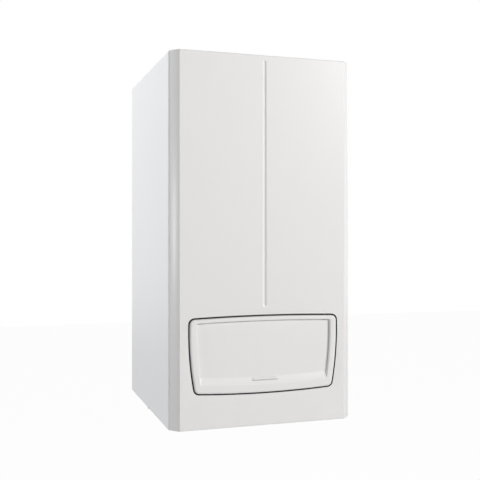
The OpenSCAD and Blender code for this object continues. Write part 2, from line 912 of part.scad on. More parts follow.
module gauge_needle() hang() color("red") translate([gauge_x, dash_y, row_z]) {
    forward(needle_y) rotate([0, 0, 225]) {
        cylinder(r = needle_hub_r, h = needle_t);
        hull() {
            translate([-2 * needle_hub_r, 0, 0]) cylinder(r = needle_pin_r, h = needle_t, $fn = 24);
            translate([gauge_r - 7, 0, 0]) cylinder(r = needle_pin_r / 2, h = needle_t, $fn = 24);
        }
    }
    forward(needle_y + needle_pin_l - needle_t / 2) cylinder(r = needle_pin_r, h = needle_pin_l);
}

module gauge_lens() hang() color("lightblue") translate([gauge_x, dash_y, row_z])
    forward(lens_t - gauge_bezel_h + 1) cylinder(r = gauge_r - gauge_wall - gauge_hem, h = lens_t);

// A control knob with a grip bar across its face and its shaft behind
module knob(x) translate([x, knob_y, row_z]) {
    difference() {
        forward(0) {
            cylinder(r = knob_r, h = knob_h - knob_skirt);
            cylinder(r = knob_r - knob_rim, h = knob_h - knob_skirt + knob_dome);
            translate([-knob_grip_w / 2, knob_rim - knob_r, 0])
                cube([knob_grip_w, knob_d - 2 * knob_rim, knob_h - clearance]);
        }
        translate([-knob_mark_w / 2, -knob_h, knob_skirt])
            cube([knob_mark_w, 1, knob_r - knob_skirt - 3]);
    }
    forward(board_y - knob_y - shaft_end) cylinder(d = knob_shaft, h = board_y - knob_y - shaft_end);
}

module selector_knob() hang() color("slategray") knob(-knob_inner);
module heating_knob() hang() color("slategray") knob(knob_inner);
module hot_water_knob() hang() color("slategray") knob(knob_outer);

module push_button(x) {
    button_back = board_y - switch_w - button_travel - clearance;
    translate([x, 0, button_z]) forward(button_back)
        cylinder(d = button_d, h = button_back - dash_y + button_proud);
}

module reset_button() hang() color("firebrick") push_button(-button_span / 2);
module info_button() hang() color("slategray") push_button(button_span / 2);

module control_board() hang() {
    color("seagreen") difference() {
        translate([-box_w / 2 + board_edge, board_y, box_z + board_edge])
            cube([box_w - 2 * board_edge, board_t, box_h - 2 * board_edge]);
        translate([gauge_x, board_y + board_t + 1, row_z]) forward(0)
            cylinder(r = gauge_r, h = board_t + 2);
    }
    color("dimgray") for (x = [-knob_inner, knob_inner, knob_outer]) difference() {
        translate([x - encoder_w / 2, board_y - encoder_d, row_z - encoder_w / 2])
            cube([encoder_w, encoder_d, encoder_w]);
        translate([x, board_y + 1, row_z]) forward(0)
            cylinder(d = knob_shaft + 2 * running, h = encoder_d + 2);
    }
    color("dimgray") both()
        translate([(button_span - switch_w) / 2, board_y - switch_w, button_z - switch_w / 2])
            cube([switch_w, switch_w, switch_w]);
    color("navy") for (i = [0:3])
        translate([relay_start - knob_outer + i * relay_pitch, board_y + board_t,
            box_z + box_h - relay_h - parts_drop]) cube([relay_w, relay_d, relay_h]);
    color("gold") translate([transformer_x, board_y + board_t, box_z + box_h - transformer_h - parts_drop])
        cube([transformer_w, transformer_d, transformer_h]);
}

module terminal_block() hang() color("green") difference() {
    block_y = box_back - box_wall - terminal_d;
    translate([-terminal_w / 2, block_y, box_z + box_wall]) cube([terminal_w, terminal_d, terminal_h]);
    for (x = [-terminal_w / 2 + terminal_pitch / 2 : terminal_pitch : terminal_w / 2 - terminal_pitch / 2])
        translate([x, block_y - 1, box_z + box_wall + terminal_hole])
            cube([terminal_pitch / 2, terminal_hole, terminal_hole]);
}

module dash_brackets() hang() color("silver") both() {
    bracket_z = box_z + bracket_inset;
    bracket_h = box_h - 2 * bracket_inset;
    translate([inner_w - bracket_t, box_back - bracket_reach, bracket_z])
        cube([bracket_t, bracket_reach, bracket_h]);
    translate([box_w / 2, box_back - bracket_t, bracket_z])
        cube([inner_w - box_w / 2, bracket_t, bracket_h]);
    translate([box_w / 2, box_back - bracket_hem, bracket_z]) cube([bracket_t, bracket_hem, bracket_h]);
}

module cable_gland() hang() color("dimgray") translate([gland_x, gland_y, 0]) difference() {
    union() {
        translate([0, 0, -gland_l]) cylinder(r = gland_r, h = gland_l + sheet);
        translate([0, 0, -gland_l]) cylinder(r = gland_r + gland_hex, h = gland_cap_l, $fn = 6);
        translate([0, 0, sheet]) cylinder(r = gland_r + gland_hex, h = gland_nut_t, $fn = 6);
        translate([0, 0, -gland_rim_t]) cylinder(r = gland_r + gland_rim, h = gland_rim_t);
    }
    translate([0, 0, -gland_l - 1]) cylinder(r = gland_bore, h = gland_l + sheet + gland_nut_t + 2);
}

// Combustion unit

module exchanger_shell() hang() color("lightslategray") difference() {
    union() {
        translate([0, 0, shell_z]) forward(-shell_back) {
            cylinder(r = shell_r, h = shell_l);
            translate([0, 0, shell_l - shell_rim]) cylinder(r = door_r, h = shell_rim);
        }
        translate([-port_x, -pipe_y, flow_port_z]) rotate([0, 90, 0]) cylinder(r = port_r, h = port_x);
        translate([0, -pipe_y, return_port_z]) rotate([0, 90, 0]) cylinder(r = port_r, h = port_x);
        translate([-trap_x, -pipe_y, shell_z - shell_r - drain_port_l])
            cylinder(r = drain_r + shell_wall, h = shell_r);
        translate([vent_x, vent_y, shell_z]) cylinder(r = vent_port_r, h = shell_r);
    }
    translate([0, 0, shell_z]) forward(-shell_back - shell_wall)
        cylinder(r = shell_r - shell_wall, h = shell_l);
    translate([0, 0, shell_z]) forward(-shell_back + 1) cylinder(r = gas_port_r, h = shell_wall + 2);
    translate([-port_x - 1, -pipe_y, flow_port_z]) rotate([0, 90, 0])
        cylinder(r = pipe_r - pipe_wall, h = port_x);
    translate([1, -pipe_y, return_port_z]) rotate([0, 90, 0])
        cylinder(r = pipe_r - pipe_wall, h = port_x);
    translate([-trap_x, -pipe_y, shell_z - shell_r - drain_port_l - 1])
        cylinder(r = drain_r - drain_wall, h = shell_r);
}

// Turns of the coil on a thin sleeve, from the shell's back wall to the insulation
module exchanger_coil() hang() color("silver") translate([0, 0, shell_z]) forward(-shell_back - shell_wall) {
    coil_l = shell_l - shell_wall - insulation_t - 2;
    turn = coil_l / coil_turns;
    tube(coil_r, coil_r - shell_wall / 2, coil_l);
    for (i = [0 : coil_turns - 1]) translate([0, 0, (i + 0.5) * turn])
        rotate_extrude() translate([coil_r, 0]) circle(turn / 2 - 1);
}

module burner_door() hang() color("gainsboro") translate([0, 0, shell_z]) difference() {
    duct_h = outlet_z - shell_z;
    union() {
        forward(shell_front) cylinder(r = door_r, h = door_t);
        translate([-duct_w / 2, fan_front, -duct_w / 2]) cube([duct_w, fan_t, duct_h + duct_w / 2]);
        translate([-duct_w / 2 - duct_flange_w, fan_front, duct_h - duct_flange_t])
            cube([duct_w + 2 * duct_flange_w, fan_t, duct_flange_t]);
        for (a = [60 : 60 : 300]) rotate([0, a, 0]) translate([0, 0, door_r - door_bolt_inset])
            forward(door_front) cylinder(r = door_bolt_r, h = door_bolt_h, $fn = 6);
    }
    translate([-duct_w / 2 + duct_wall, fan_front + duct_wall, -duct_w / 2 + duct_wall])
        cube([duct_w - 2 * duct_wall, fan_t - duct_wall - duct_roof, duct_h + duct_w]);
    forward(shell_front + 1) cylinder(r = duct_w / 2 - duct_wall, h = door_t + duct_wall + 2);
    for (z = electrode_zs) translate([electrode_x, 0, z])
        forward(shell_front + 1) cylinder(r = rod_r + 1, h = door_t + 3);
}

module door_insulation() hang() color("beige") translate([0, 0, shell_z]) difference() {
    forward(shell_front + insulation_t) cylinder(r = shell_r - shell_wall - 1, h = insulation_t);
    forward(shell_front + insulation_t + 1) cylinder(r = burner_r + 1, h = insulation_t + 2);
    for (z = electrode_zs) translate([electrode_x, 0, z])
        forward(shell_front + insulation_t + 1) cylinder(r = rod_r + 1, h = insulation_t + 2);
}

module burner_tube() hang() color("darkgray") translate([0, 0, shell_z]) difference() {
    forward(shell_front + burner_l) cylinder(r = burner_r, h = burner_l);
    forward(shell_front + burner_l - 2) cylinder(r = burner_r - 1.5, h = burner_l);
}

module electrodes() hang() color("ivory") for (z = electrode_zs)
    translate([electrode_x, 0, shell_z + z]) {
        rod_back = shell_front + insulation_t + rod_reach;
        forward(door_front) cylinder(r = electrode_r, h = electrode_l);
        forward(door_front - electrode_l) cylinder(r = electrode_cap_r, h = electrode_cap_l);
        forward(rod_back) cylinder(r = rod_r, h = rod_back - door_front + 1);
    }

// Side view of the fan's housing: a round scroll with a straight outlet down its right side
module volute(inset) {
    circle(fan_r - inset);
    translate([fan_r - duct_w + inset, -fan_drop - inset]) square([duct_w - 2 * inset, fan_drop + inset]);
}

module fan_housing() hang() color("dimgray") translate([fan_x, 0, fan_z]) difference() {
    union() {
        slab(fan_front, fan_t) volute(0);
        translate([fan_r - duct_w - duct_flange_w, fan_front, -fan_drop])
            cube([duct_w + 2 * duct_flange_w, fan_t, fan_flange_t]);
    }
    slab(fan_front + fan_wall, fan_t - 2 * fan_wall) volute(fan_wall);
    forward(fan_front + fan_wall + 1) cylinder(r = mixer_bore, h = fan_wall + 2);
    forward(door_front + 1) cylinder(r = shaft_r + 2, h = fan_wall + 2);
}

module fan_impeller() hang() color("lightgray") translate([fan_x, 0, fan_z]) {
    disc_y = door_front - fan_wall - disc_set;
    blade_r = mixer_bore + blade_root;
    forward(disc_y) cylinder(r = blade_tip_r, h = blade_t);
    forward(disc_y) cylinder(r = fan_hub_r, h = fan_hub_l);
    for (a = [0 : 30 : 330]) rotate([0, a, 0]) translate([blade_r, disc_y - fan_t / 2, -blade_t / 2])
        cube([blade_tip_r - blade_r, fan_t / 2, blade_t]);
    shaft_back = door_front + fan_motor_l - 2 * shaft_r;
    forward(shaft_back) cylinder(r = shaft_r, h = shaft_back - disc_y + disc_set);
}

module fan_motor() hang() color("black") translate([fan_x, 0, fan_z]) difference() {
    union() {
        forward(door_front + fan_motor_l) cylinder(r = fan_motor_r, h = fan_motor_l);
        forward(door_front + fan_motor_l + fan_cap_l - 1)
            cylinder(r = fan_motor_r - fan_hub_r, h = fan_cap_l);
    }
    forward(door_front + fan_motor_l - 2 * fan_wall) cylinder(r = shaft_r + running, h = fan_motor_l);
}

module air_gas_mixer() hang() color("silver") translate([fan_x, 0, fan_z]) difference() {
    cone_l = (mixer_l - throat_l) / 2;
    union() {
        forward(fan_front) cylinder(r = mixer_bore + mixer_flange_w, h = mixer_flange_t);
        forward(fan_front) cylinder(r = mixer_bore + mixer_wall, h = mixer_l);
        translate([0, mixer_y, 0]) rotate([0, 90, 0])
            cylinder(r = gas_r + fan_wall, h = mixer_x - fan_x);
    }
    forward(fan_front + 1) cylinder(r = throat_r, h = mixer_l + 2);
    forward(fan_front + 1) cylinder(r1 = mixer_bore, r2 = throat_r, h = cone_l);
    forward(mixer_y - throat_l / 2 - 1) cylinder(r1 = throat_r, r2 = mixer_bore, h = cone_l);
    translate([0, mixer_y, 0]) rotate([0, 90, 0])
        cylinder(r = gas_r - fan_wall, h = mixer_x - fan_x + 1);
}

module gas_valve() hang() color("silver") translate([gas_x, valve_y, valve_z0]) difference() {
    union() {
        translate([-valve_w / 2, -valve_d / 2, valve_end])
            cube([valve_w, valve_d, valve_h - 2 * valve_end]);
        for (z = [0, valve_h - valve_collar_h]) translate([0, 0, z])
            cylinder(r = gas_r + valve_collar, h = valve_collar_h);
        for (z = coil_cap_zs) translate([0, 1 - valve_d / 2, z])
            forward(0) cylinder(r = coil_cap_r, h = coil_cap_l);
        translate([valve_w / 2 - 1, -plug_d / 2, plug_z]) cube([plug_w, plug_d, plug_h]);
        translate([-valve_w / 2, 0, tap_z]) rotate([0, -90, 0]) cylinder(r = tap_r, h = tap_l);
    }
    translate([0, 0, -1]) cylinder(r = gas_r - pipe_wall, h = valve_bore_l + 1);
    translate([0, 0, valve_h - valve_bore_l]) cylinder(r = gas_r - pipe_wall, h = valve_bore_l + 1);
}

module gas_pipes() hang() color("gold") {
    gas_top = valve_z0 + valve_h;
    translate([gas_x, -pipe_y, pipe_z0]) {
        pipe(gas_r, gas_run_z - bend - pipe_z0);
        translate([0, 0, gas_run_z - bend - pipe_z0]) rotate([0, 0, -90]) elbow(gas_r, pipe_wall);
        translate([0, -bend, gas_run_z - pipe_z0]) forward(0)
            pipe(gas_r, -valve_y - pipe_y - 2 * bend);
    }
    translate([gas_x, valve_y, gas_run_z + bend]) {
        rotate([0, 0, 90]) mirror([0, 0, 1]) elbow(gas_r, pipe_wall);
        pipe(gas_r, valve_z0 - gas_run_z - bend);
    }
    translate([gas_x, valve_y, gas_top]) {
        pipe(gas_r, fan_z - bend - gas_top);
        translate([0, 0, fan_z - bend - gas_top]) rotate([0, 0, 180]) elbow(gas_r, pipe_wall);
        translate([-bend, 0, fan_z - gas_top]) rotate([0, -90, 0])
            pipe(gas_r, gas_x - bend - mixer_x);
    }
}

// Side view of the flue hood: up behind the shell, then forward above it
module hood_side(inset) offset(delta = -inset) polygon([
    [-hood_gap, hood_foot],
    [-hood_gap, hood_top],
    [-hood_reach, hood_top],
    [-hood_reach, hood_step],
    [-shell_back, hood_step],
    [-shell_back, hood_foot]
]);

module flue_hood() hang() color("dimgray") difference() {
    union() {
        translate([-hood_w / 2, 0, 0]) rotate([90, 0, 90]) linear_extrude(hood_w) hood_side(0);
        translate([0, -flue_y, hood_top - 1])
            tube(flue_r + flue_wall + socket_wall, flue_r + flue_wall, socket_l);
    }
    translate([-hood_w / 2 + hood_wall, 0, 0]) rotate([90, 0, 90])
        linear_extrude(hood_w - 2 * hood_wall) hood_side(hood_wall);
    translate([0, -shell_back + hood_wall + 1, shell_z])
        forward(0) cylinder(r = gas_port_r, h = hood_wall + 2);
    translate([0, -flue_y, hood_top - hood_wall - 1])
        cylinder(r = flue_r - 2 * flue_wall, h = hood_wall + 2);
}

module flue_pipe() hang() color("white") translate([0, -flue_y, hood_top])
    tube(flue_r + flue_wall, flue_r, flue_top - hood_top);

module exchanger_brackets() hang() color("silver") both()
    translate([shell_foot_x, 0, shell_z - shell_foot_h / 2]) {
        translate([0, -shell_back, 0]) cube([shell_foot_t, shell_back - frame_t, shell_foot_h]);
        translate([0, -frame_t - shell_foot_t, 0]) cube([shell_foot_w, shell_foot_t, shell_foot_h]);
        translate([0, -shell_back, 0]) cube([shell_foot_seat, shell_foot_t, shell_foot_h]);
    }

// Water side

// A threaded end that stands below the bottom panel, with a hexagon seated on it
module connector(r, bore) difference() {
    union() {
        translate([0, 0, -thread_l]) cylinder(r = r, h = thread_l + sheet);
        translate([0, 0, sheet]) cylinder(r = r + connector_hex, h = nut_h, $fn = 6);
        translate([0, 0, -lock_nut_t]) cylinder(r = r + connector_hex, h = lock_nut_t, $fn = 6);
    }
    translate([0, 0, -thread_l - 1]) cylinder(r = bore, h = thread_l + pipe_z0 + 2);
}

module pipe_connectors() hang() color("gold") {
    for (x = [-flow_x, pump_x]) translate([x, -pipe_y, 0])
        connector(water_thread_r, pipe_r - pipe_wall);
    translate([gas_x, -pipe_y, 0]) connector(gas_thread_r, gas_r - pipe_wall);
}

module flow_pipe() hang() color("peru") translate([-flow_x, -pipe_y, 0]) {
    difference() {
        union() {
            translate([0, 0, pipe_z0]) cylinder(r = pipe_r, h = flow_port_z - bend - pipe_z0);
            translate([0, 0, relief_z]) forward(0)
                cylinder(r = relief_arm_r, h = -relief_y - pipe_y - relief_r);
        }
        translate([0, 0, pipe_z0 - 1]) cylinder(r = pipe_r - pipe_wall, h = flow_port_z - bend);
        translate([0, 0, relief_z]) forward(0) cylinder(r = relief_arm_bore, h = -relief_y - pipe_y);
    }
    translate([0, 0, flow_port_z - bend]) elbow(pipe_r, pipe_wall);
    translate([bend, 0, flow_port_z]) rotate([0, 90, 0]) pipe(pipe_r, flow_x - bend - port_x);
}

module return_pipes() hang() color("peru") translate([pump_x, -pipe_y, 0]) {
    difference() {
        union() {
            translate([0, 0, pipe_z0]) cylinder(r = pipe_r, h = pump_z - pump_half - pipe_z0);
            translate([0, 0, cock_z]) forward(0)
                cylinder(r = 2 * cock_bore, h = pipe_r + cock_stub);
        }
        translate([0, 0, pipe_z0 - 1]) cylinder(r = pipe_r - pipe_wall, h = pump_z);
        translate([0, 0, cock_z]) forward(0) cylinder(r = cock_bore, h = pipe_r + cock_stub + 1);
    }
    translate([0, 0, pump_z + pump_half]) pipe(pipe_r, return_port_z - bend - pump_z - pump_half);
    translate([0, 0, return_port_z - bend]) rotate([0, 0, 180]) elbow(pipe_r, pipe_wall);
    translate([-bend, 0, return_port_z]) rotate([0, -90, 0]) pipe(pipe_r, pump_x - bend - port_x);
}

module pump_body() hang() color("darkslategray") translate([pump_x, -pipe_y, pump_z]) difference() {
    union() {
        forward(pump_t / 2) cylinder(r = pump_case_r, h = pump_t);
        for (side = [0, 1]) mirror([0, 0, side]) {
            cylinder(r = port_r, h = pump_half - 1);
            translate([0, 0, pump_half - pump_nut_h])
                cylinder(r = port_r + port_wall, h = pump_nut_h, $fn = 6);
        }
    }
    forward(pump_t / 2 - pump_wall) cylinder(r = pump_case_r - pump_wall, h = pump_t);
    for (side = [0, 1]) mirror([0, 0, side]) cylinder(r = pipe_r - pipe_wall, h = pump_half + 1);
}

module pump_motor() hang() color("firebrick") translate([pump_x, -pipe_y - pump_t / 2, pump_z])
    difference() {
        union() {
            forward(0) cylinder(r = pump_r, h = pump_l - pump_cap_l);
            forward(0) cylinder(r = pump_r - pump_cap_step, h = pump_l);
        }
        forward(1) cylinder(r = shaft_r + running, h = pump_l - 2 * pump_cap_l);
    }

module pump_rotor() hang() color("silver") translate([pump_x, -pipe_y - pump_t / 2, pump_z]) {
    rotor_back = pump_t - rotor_set;
    forward(rotor_back) cylinder(r = rotor_r, h = rotor_disc_t);
    forward(rotor_back) cylinder(r = rotor_hub_r, h = rotor_back - 2);
    for (a = [0 : 60 : 300]) rotate([0, a, 0])
        translate([rotor_hub_r - 2, rotor_back - rotor_disc_t - rotor_vane_h + 1, -blade_t / 2])
            cube([rotor_r - rotor_hub_r + 1, rotor_vane_h, blade_t]);
    forward(rotor_back) cylinder(r = shaft_r, h = rotor_back + pump_l - 3 * pump_cap_l);
}

module safety_valve() hang() color("gold") translate([-flow_x, relief_y, relief_z]) {
    neck_z = relief_top - relief_neck_h;
    difference() {
        union() {
            translate([0, 0, -relief_body_drop]) cylinder(r = relief_r, h = relief_body_h);
            translate([0, 0, -relief_nut_drop])
                cylinder(r = relief_pipe_r + connector_hex - 1, h = lock_nut_t, $fn = 6);
            translate([0, 0, neck_z]) cylinder(r = relief_r - 4, h = relief_neck_h);
        }
        translate([0, 0, neck_z - relief_arm_bore]) cylinder(r = spindle_r + running, h = relief_top);
        translate([0, 0, -relief_nut_drop - 1]) cylinder(r = relief_pipe_r - 1, h = relief_nut_drop - 10);
    }
    translate([0, 0, -relief_z - relief_end])
        tube(relief_pipe_r, relief_pipe_r - 1, relief_z + relief_end - relief_nut_drop);
    translate([0, 0, -relief_z - relief_bead_h])
        tube(relief_pipe_r + relief_bead, relief_pipe_r - 1, relief_bead_h);
}

module relief_knob() hang() color("red")
    translate([-flow_x, relief_y, relief_z + relief_top + clearance]) {
        difference() {
            cylinder(r = relief_r + 2, h = relief_knob_h);
            for (a = [0 : 30 : 330]) rotate([0, 0, a]) translate([relief_r + 3, 0, 3])
                cylinder(r = flute_r, h = relief_knob_h);
        }
        translate([0, 0, -spindle_l]) cylinder(r = spindle_r, h = spindle_l + 1);
    }

module drain_cock() hang() color("gold") translate([pump_x, -cock_y, cock_z]) difference() {
    union() {
        forward(0) cylinder(r = cock_r, h = cock_l, $fn = 6);
        translate([0, -cock_l / 2, -cock_spout_l]) cylinder(r = cock_spout_r, h = cock_spout_l);
    }
    forward(1) cylinder(r = cock_bore, h = 2 * cock_bore);
    translate([0, -cock_l / 2, -cock_spout_l - 1]) cylinder(r = cock_bore - 1, h = 4 * cock_bore);
    forward(spindle_l - cock_l) cylinder(r = spindle_r + running, h = cock_l);
}

module drain_handle() hang() color("royalblue")
    translate([pump_x, -cock_y - cock_l - clearance, cock_z]) {
        forward(0) cylinder(r = handle_r, h = handle_t);
        translate([-handle_r / 2, -handle_t, 0]) cube([handle_r, handle_t, handle_l]);
        forward(spindle_l - 2) cylinder(r = spindle_r, h = spindle_l - 1);
    }

module air_vent() hang() color("gold") translate([vent_x, vent_y, shell_z + shell_r]) {
    float_top = vent_hex_h - 1 + vent_float_h;
    cylinder(r = vent_hex_r, h = vent_hex_h, $fn = 6);
    translate([0, 0, vent_hex_h - 1]) cylinder(r = vent_float_r, h = vent_float_h);
    translate([0, 0, float_top - 1]) cylinder(r = vent_cap_r, h = vent_hex_h);
    translate([vent_float_r - vent_spout_r, 0, vent_spout_z]) rotate([0, 90, 0])
        cylinder(r = vent_spout_r, h = vent_spout_l);
}

module condensate_trap() hang() color("whitesmoke") translate([-trap_x, -pipe_y, 0]) difference() {
    neck_z = hose_z - trap_neck_h;
    union() {
        translate([0, 0, -thread_l]) cylinder(r = trap_out_r, h = thread_l + trap_lift + trap_wall);
        translate([0, 0, sheet]) cylinder(r = trap_out_r + trap_nut, h = trap_nut_h);
        translate([0, 0, -trap_nut_h - 1])
            cylinder(r = trap_out_r + trap_nut - 2, h = trap_nut_h + 1, $fn = 6);
        translate([0, 0, trap_lift]) cylinder(r = trap_r, h = neck_z - trap_lift - trap_nut);
        translate([0, 0, neck_z - trap_cap_h + 2]) cylinder(r = trap_r + trap_cap, h = trap_cap_h);
        translate([0, 0, neck_z]) cylinder(r = drain_r + trap_neck, h = trap_neck_h);
    }
    translate([0, 0, -thread_l - 1])
        cylinder(r = trap_out_r - 2, h = thread_l + trap_lift + trap_wall + 1);
    translate([0, 0, trap_lift + trap_wall + 1])
        cylinder(r = trap_r - trap_wall, h = neck_z - trap_nut - trap_lift - trap_wall - 1);
    translate([0, 0, neck_z - trap_cap_h + trap_wall + 1])
        cylinder(r = drain_r - drain_wall, h = hose_z);
}

module condensate_hose() hang() color("lightgray") translate([-trap_x, -pipe_y, hose_z])
    tube(drain_r, drain_r - drain_wall, shell_z - shell_r - drain_port_l - hose_z);

rear_frame();
side_panel_left();
side_panel_right();
top_panel();
bottom_panel();
panel_screws();
cover_screws();
flue_collar();
front_cover();
cover_seal();
cover_studs();
flap_frame();
control_flap();
flap_pins();
control_box();
fascia();
display_module();
display_lens();
gauge_case();
gauge_dial();
gauge_needle();
gauge_lens();
selector_knob();
heating_knob();
hot_water_knob();
reset_button();
info_button();
control_board();
terminal_block();
dash_brackets();
cable_gland();
exchanger_shell();
exchanger_coil();
burner_door();
door_insulation();
burner_tube();
electrodes();
fan_housing();
fan_impeller();
fan_motor();
air_gas_mixer();
gas_valve();
gas_pipes();
flue_hood();
flue_pipe();
exchanger_brackets();
pipe_connectors();
flow_pipe();
return_pipes();
pump_body();
pump_motor();
pump_rotor();
safety_valve();
relief_knob();
drain_cock();
drain_handle();
air_vent();
condensate_trap();
condensate_hose();
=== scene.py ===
import json
from math import acos, atan2, cos, pi, radians, sin, sqrt, tan

import bmesh
import bpy
from mathutils import Matrix, Vector


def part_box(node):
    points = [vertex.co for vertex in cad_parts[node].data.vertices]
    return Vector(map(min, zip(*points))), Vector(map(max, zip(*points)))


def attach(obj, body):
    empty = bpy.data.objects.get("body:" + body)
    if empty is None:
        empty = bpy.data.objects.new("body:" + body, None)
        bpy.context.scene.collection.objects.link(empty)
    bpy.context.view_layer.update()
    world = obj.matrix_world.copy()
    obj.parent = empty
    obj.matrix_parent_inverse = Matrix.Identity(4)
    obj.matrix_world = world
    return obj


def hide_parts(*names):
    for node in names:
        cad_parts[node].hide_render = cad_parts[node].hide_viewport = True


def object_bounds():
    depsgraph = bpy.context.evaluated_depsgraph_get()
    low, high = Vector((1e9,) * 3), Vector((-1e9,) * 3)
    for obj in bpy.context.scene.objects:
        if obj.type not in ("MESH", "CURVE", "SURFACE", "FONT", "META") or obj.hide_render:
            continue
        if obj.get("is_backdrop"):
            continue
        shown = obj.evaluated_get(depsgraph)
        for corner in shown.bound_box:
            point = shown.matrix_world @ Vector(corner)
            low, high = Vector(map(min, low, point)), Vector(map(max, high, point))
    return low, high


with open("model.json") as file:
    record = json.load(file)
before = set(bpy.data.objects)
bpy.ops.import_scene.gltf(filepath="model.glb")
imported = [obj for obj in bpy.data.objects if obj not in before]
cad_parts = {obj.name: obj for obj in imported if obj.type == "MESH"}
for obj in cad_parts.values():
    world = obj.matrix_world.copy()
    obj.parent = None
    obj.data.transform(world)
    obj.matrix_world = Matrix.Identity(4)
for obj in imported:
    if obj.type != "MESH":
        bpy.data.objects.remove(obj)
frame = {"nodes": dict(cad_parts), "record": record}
cad_low, cad_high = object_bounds()

# Camera
# The lens and the place were fitted to the casing's edges in the photograph. The picture lies a
# little off the lens's axis, which the two shifts give.
camera = bpy.data.objects.new("camera", bpy.data.cameras.new("camera"))
bpy.context.scene.collection.objects.link(camera)
bpy.context.scene.camera = camera
camera.data.sensor_width = 36
camera.data.lens = 56.44
camera.data.shift_x = 0.0167
camera.data.shift_y = -0.0107
camera.location = (-0.592, -2.107, -0.351)
camera.rotation_euler = (radians(90), 0, radians(-17.6))
bpy.context.scene.view_settings.view_transform = "Standard"

# Room
# A pale floor well below the hanging boiler, one large soft lamp in front, two smaller ones beside
# it and an even sky. The background is white where the camera or a reflection sees it, and lights
# the object at a plain level, so white paint keeps its shading without clipping.


def linear(code):
    """The linear value of an sRGB hex colour"""
    parts = [int(code[i : i + 2], 16) / 255 for i in (1, 3, 5)]
    return (*[c / 12.92 if c < 0.04045 else ((c + 0.055) / 1.055) ** 2.4 for c in parts], 1)


def put(tree, kind, inputs=None, outputs=None, **settings):
    """A node with its settings, its inputs as values or links, and what its outputs feed"""
    node = tree.nodes.new(kind)
    for name, value in settings.items():
        setattr(node, name, value)
    for name, value in (inputs or {}).items():
        if isinstance(value, bpy.types.NodeSocket):
            tree.links.new(value, node.inputs[name])
        else:
            node.inputs[name].default_value = value
    for name, target in (outputs or {}).items():
        tree.links.new(node.outputs[name], target)
    return node


SKY = 0.26
world = bpy.data.worlds.new("studio")
bpy.context.scene.world = world
world.use_nodes = True
world.node_tree.nodes.clear()
seen = put(world.node_tree, "ShaderNodeLightPath")
seen_or_glossy = put(
    world.node_tree,
    "ShaderNodeMath",
    {0: seen.outputs["Is Camera Ray"], 1: seen.outputs["Is Glossy Ray"]},
    operation="MAXIMUM",
)
shown = put(
    world.node_tree,
    "ShaderNodeMath",
    {0: seen_or_glossy.outputs[0], 1: seen.outputs["Is Transmission Ray"]},
    operation="MAXIMUM",
)
light = put(world.node_tree, "ShaderNodeBackground", {"Color": linear("#FCFCFF"), "Strength": SKY})
white = put(world.node_tree, "ShaderNodeBackground", {"Color": (1, 1, 1, 1), "Strength": 1.0})
put(
    world.node_tree,
    "ShaderNodeOutputWorld",
    {
        "Surface": put(
            world.node_tree,
            "ShaderNodeMixShader",
            {0: shown.outputs[0], 1: light.outputs[0], 2: white.outputs[0]},
        ).outputs[0]
    },
)

# The floor is matt white paint. The camera sees it nearly as white as the background, so it hardly
# shows, while it still throws light up under the casing.
floor_paint = bpy.data.materials.new("floor_white")
floor_paint.use_nodes = True
tree = floor_paint.node_tree
tree.nodes.clear()
seen = put(tree, "ShaderNodeLightPath")
pale = put(tree, "ShaderNodeBsdfDiffuse", {"Color": linear("#F2F2F2")})
clear = put(tree, "ShaderNodeEmission", {"Color": (1, 1, 1, 1), "Strength": 1.0})
SEEN_WHITE = 0.97
share = put(
    tree,
    "ShaderNodeMath",
    {0: seen.outputs["Is Camera Ray"], 1: SEEN_WHITE},
    operation="MULTIPLY",
)
put(
    tree,
    "ShaderNodeOutputMaterial",
    {
        "Surface": put(
            tree,
            "ShaderNodeMixShader",
            {0: share.outputs[0], 1: pale.outputs[0], 2: clear.outputs[0]},
        ).outputs[0]
    },
)
FLOOR_HALF, FLOOR_Z = 12, -2.0
floor_mesh = bpy.data.meshes.new("floor")
floor_mesh.from_pydata(
    [(x * FLOOR_HALF, y * FLOOR_HALF, FLOOR_Z) for x, y in ((-1, -1), (1, -1), (1, 1), (-1, 1))],
    [],
    [(0, 1, 2, 3)],
)
floor_mesh.materials.append(floor_paint)
room_floor = bpy.data.objects.new("floor", floor_mesh)
bpy.context.scene.collection.objects.link(room_floor)
room_floor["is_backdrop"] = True

LIT_POINT = Vector((0, -0.25, -0.3))
for name, place, width, watts, tint in (
    ("lamp_front", (5.2, -6.3, 2.3), 3.4, 445, "#FFFEFD"),
    ("lamp_side", (-2.5, 1.1, 1.35), 1.4, 53, "#FCFCFF"),
    ("lamp_edge", (-3.0, -1.0, -0.3), 0.6, 12, "#FCFDFF"),
):
    lamp = bpy.data.objects.new(name, bpy.data.lights.new(name, "AREA"))
    bpy.context.scene.collection.objects.link(lamp)
    lamp.data.shape = "DISK"
    lamp.data.size = width
    lamp.data.energy = watts
    lamp.data.color = linear(tint)[:3]
    lamp.location = place
    aim = LIT_POINT - Vector(place)
    lamp.rotation_euler = aim.to_track_quat("-Z", "Y").to_euler()

# Rear frame, exchanger brackets, dashboard brackets and bottom panel
# Galvanised steel sheet, cut and folded. The zinc shows crystals about 7 mm across, each with its
# own brightness, and the coating is a little rough.


def finish(name, **values):
    """A material, its tree, its shader with plain values set, and the place that patterns read"""
    material = bpy.data.materials.new(name)
    material.use_nodes = True
    shader = material.node_tree.nodes["Principled BSDF"]
    for socket, value in values.items():
        shader.inputs[socket.replace("_", " ")].default_value = value
    place = put(material.node_tree, "ShaderNodeTexCoord").outputs["Object"]
    return material, material.node_tree, shader, place


def dress(material, *nodes):
    """A CAD node keeps its shape and gets the material"""
    for node in nodes:
        for material_slot in frame["nodes"][node].material_slots:
            material_slot.material = material


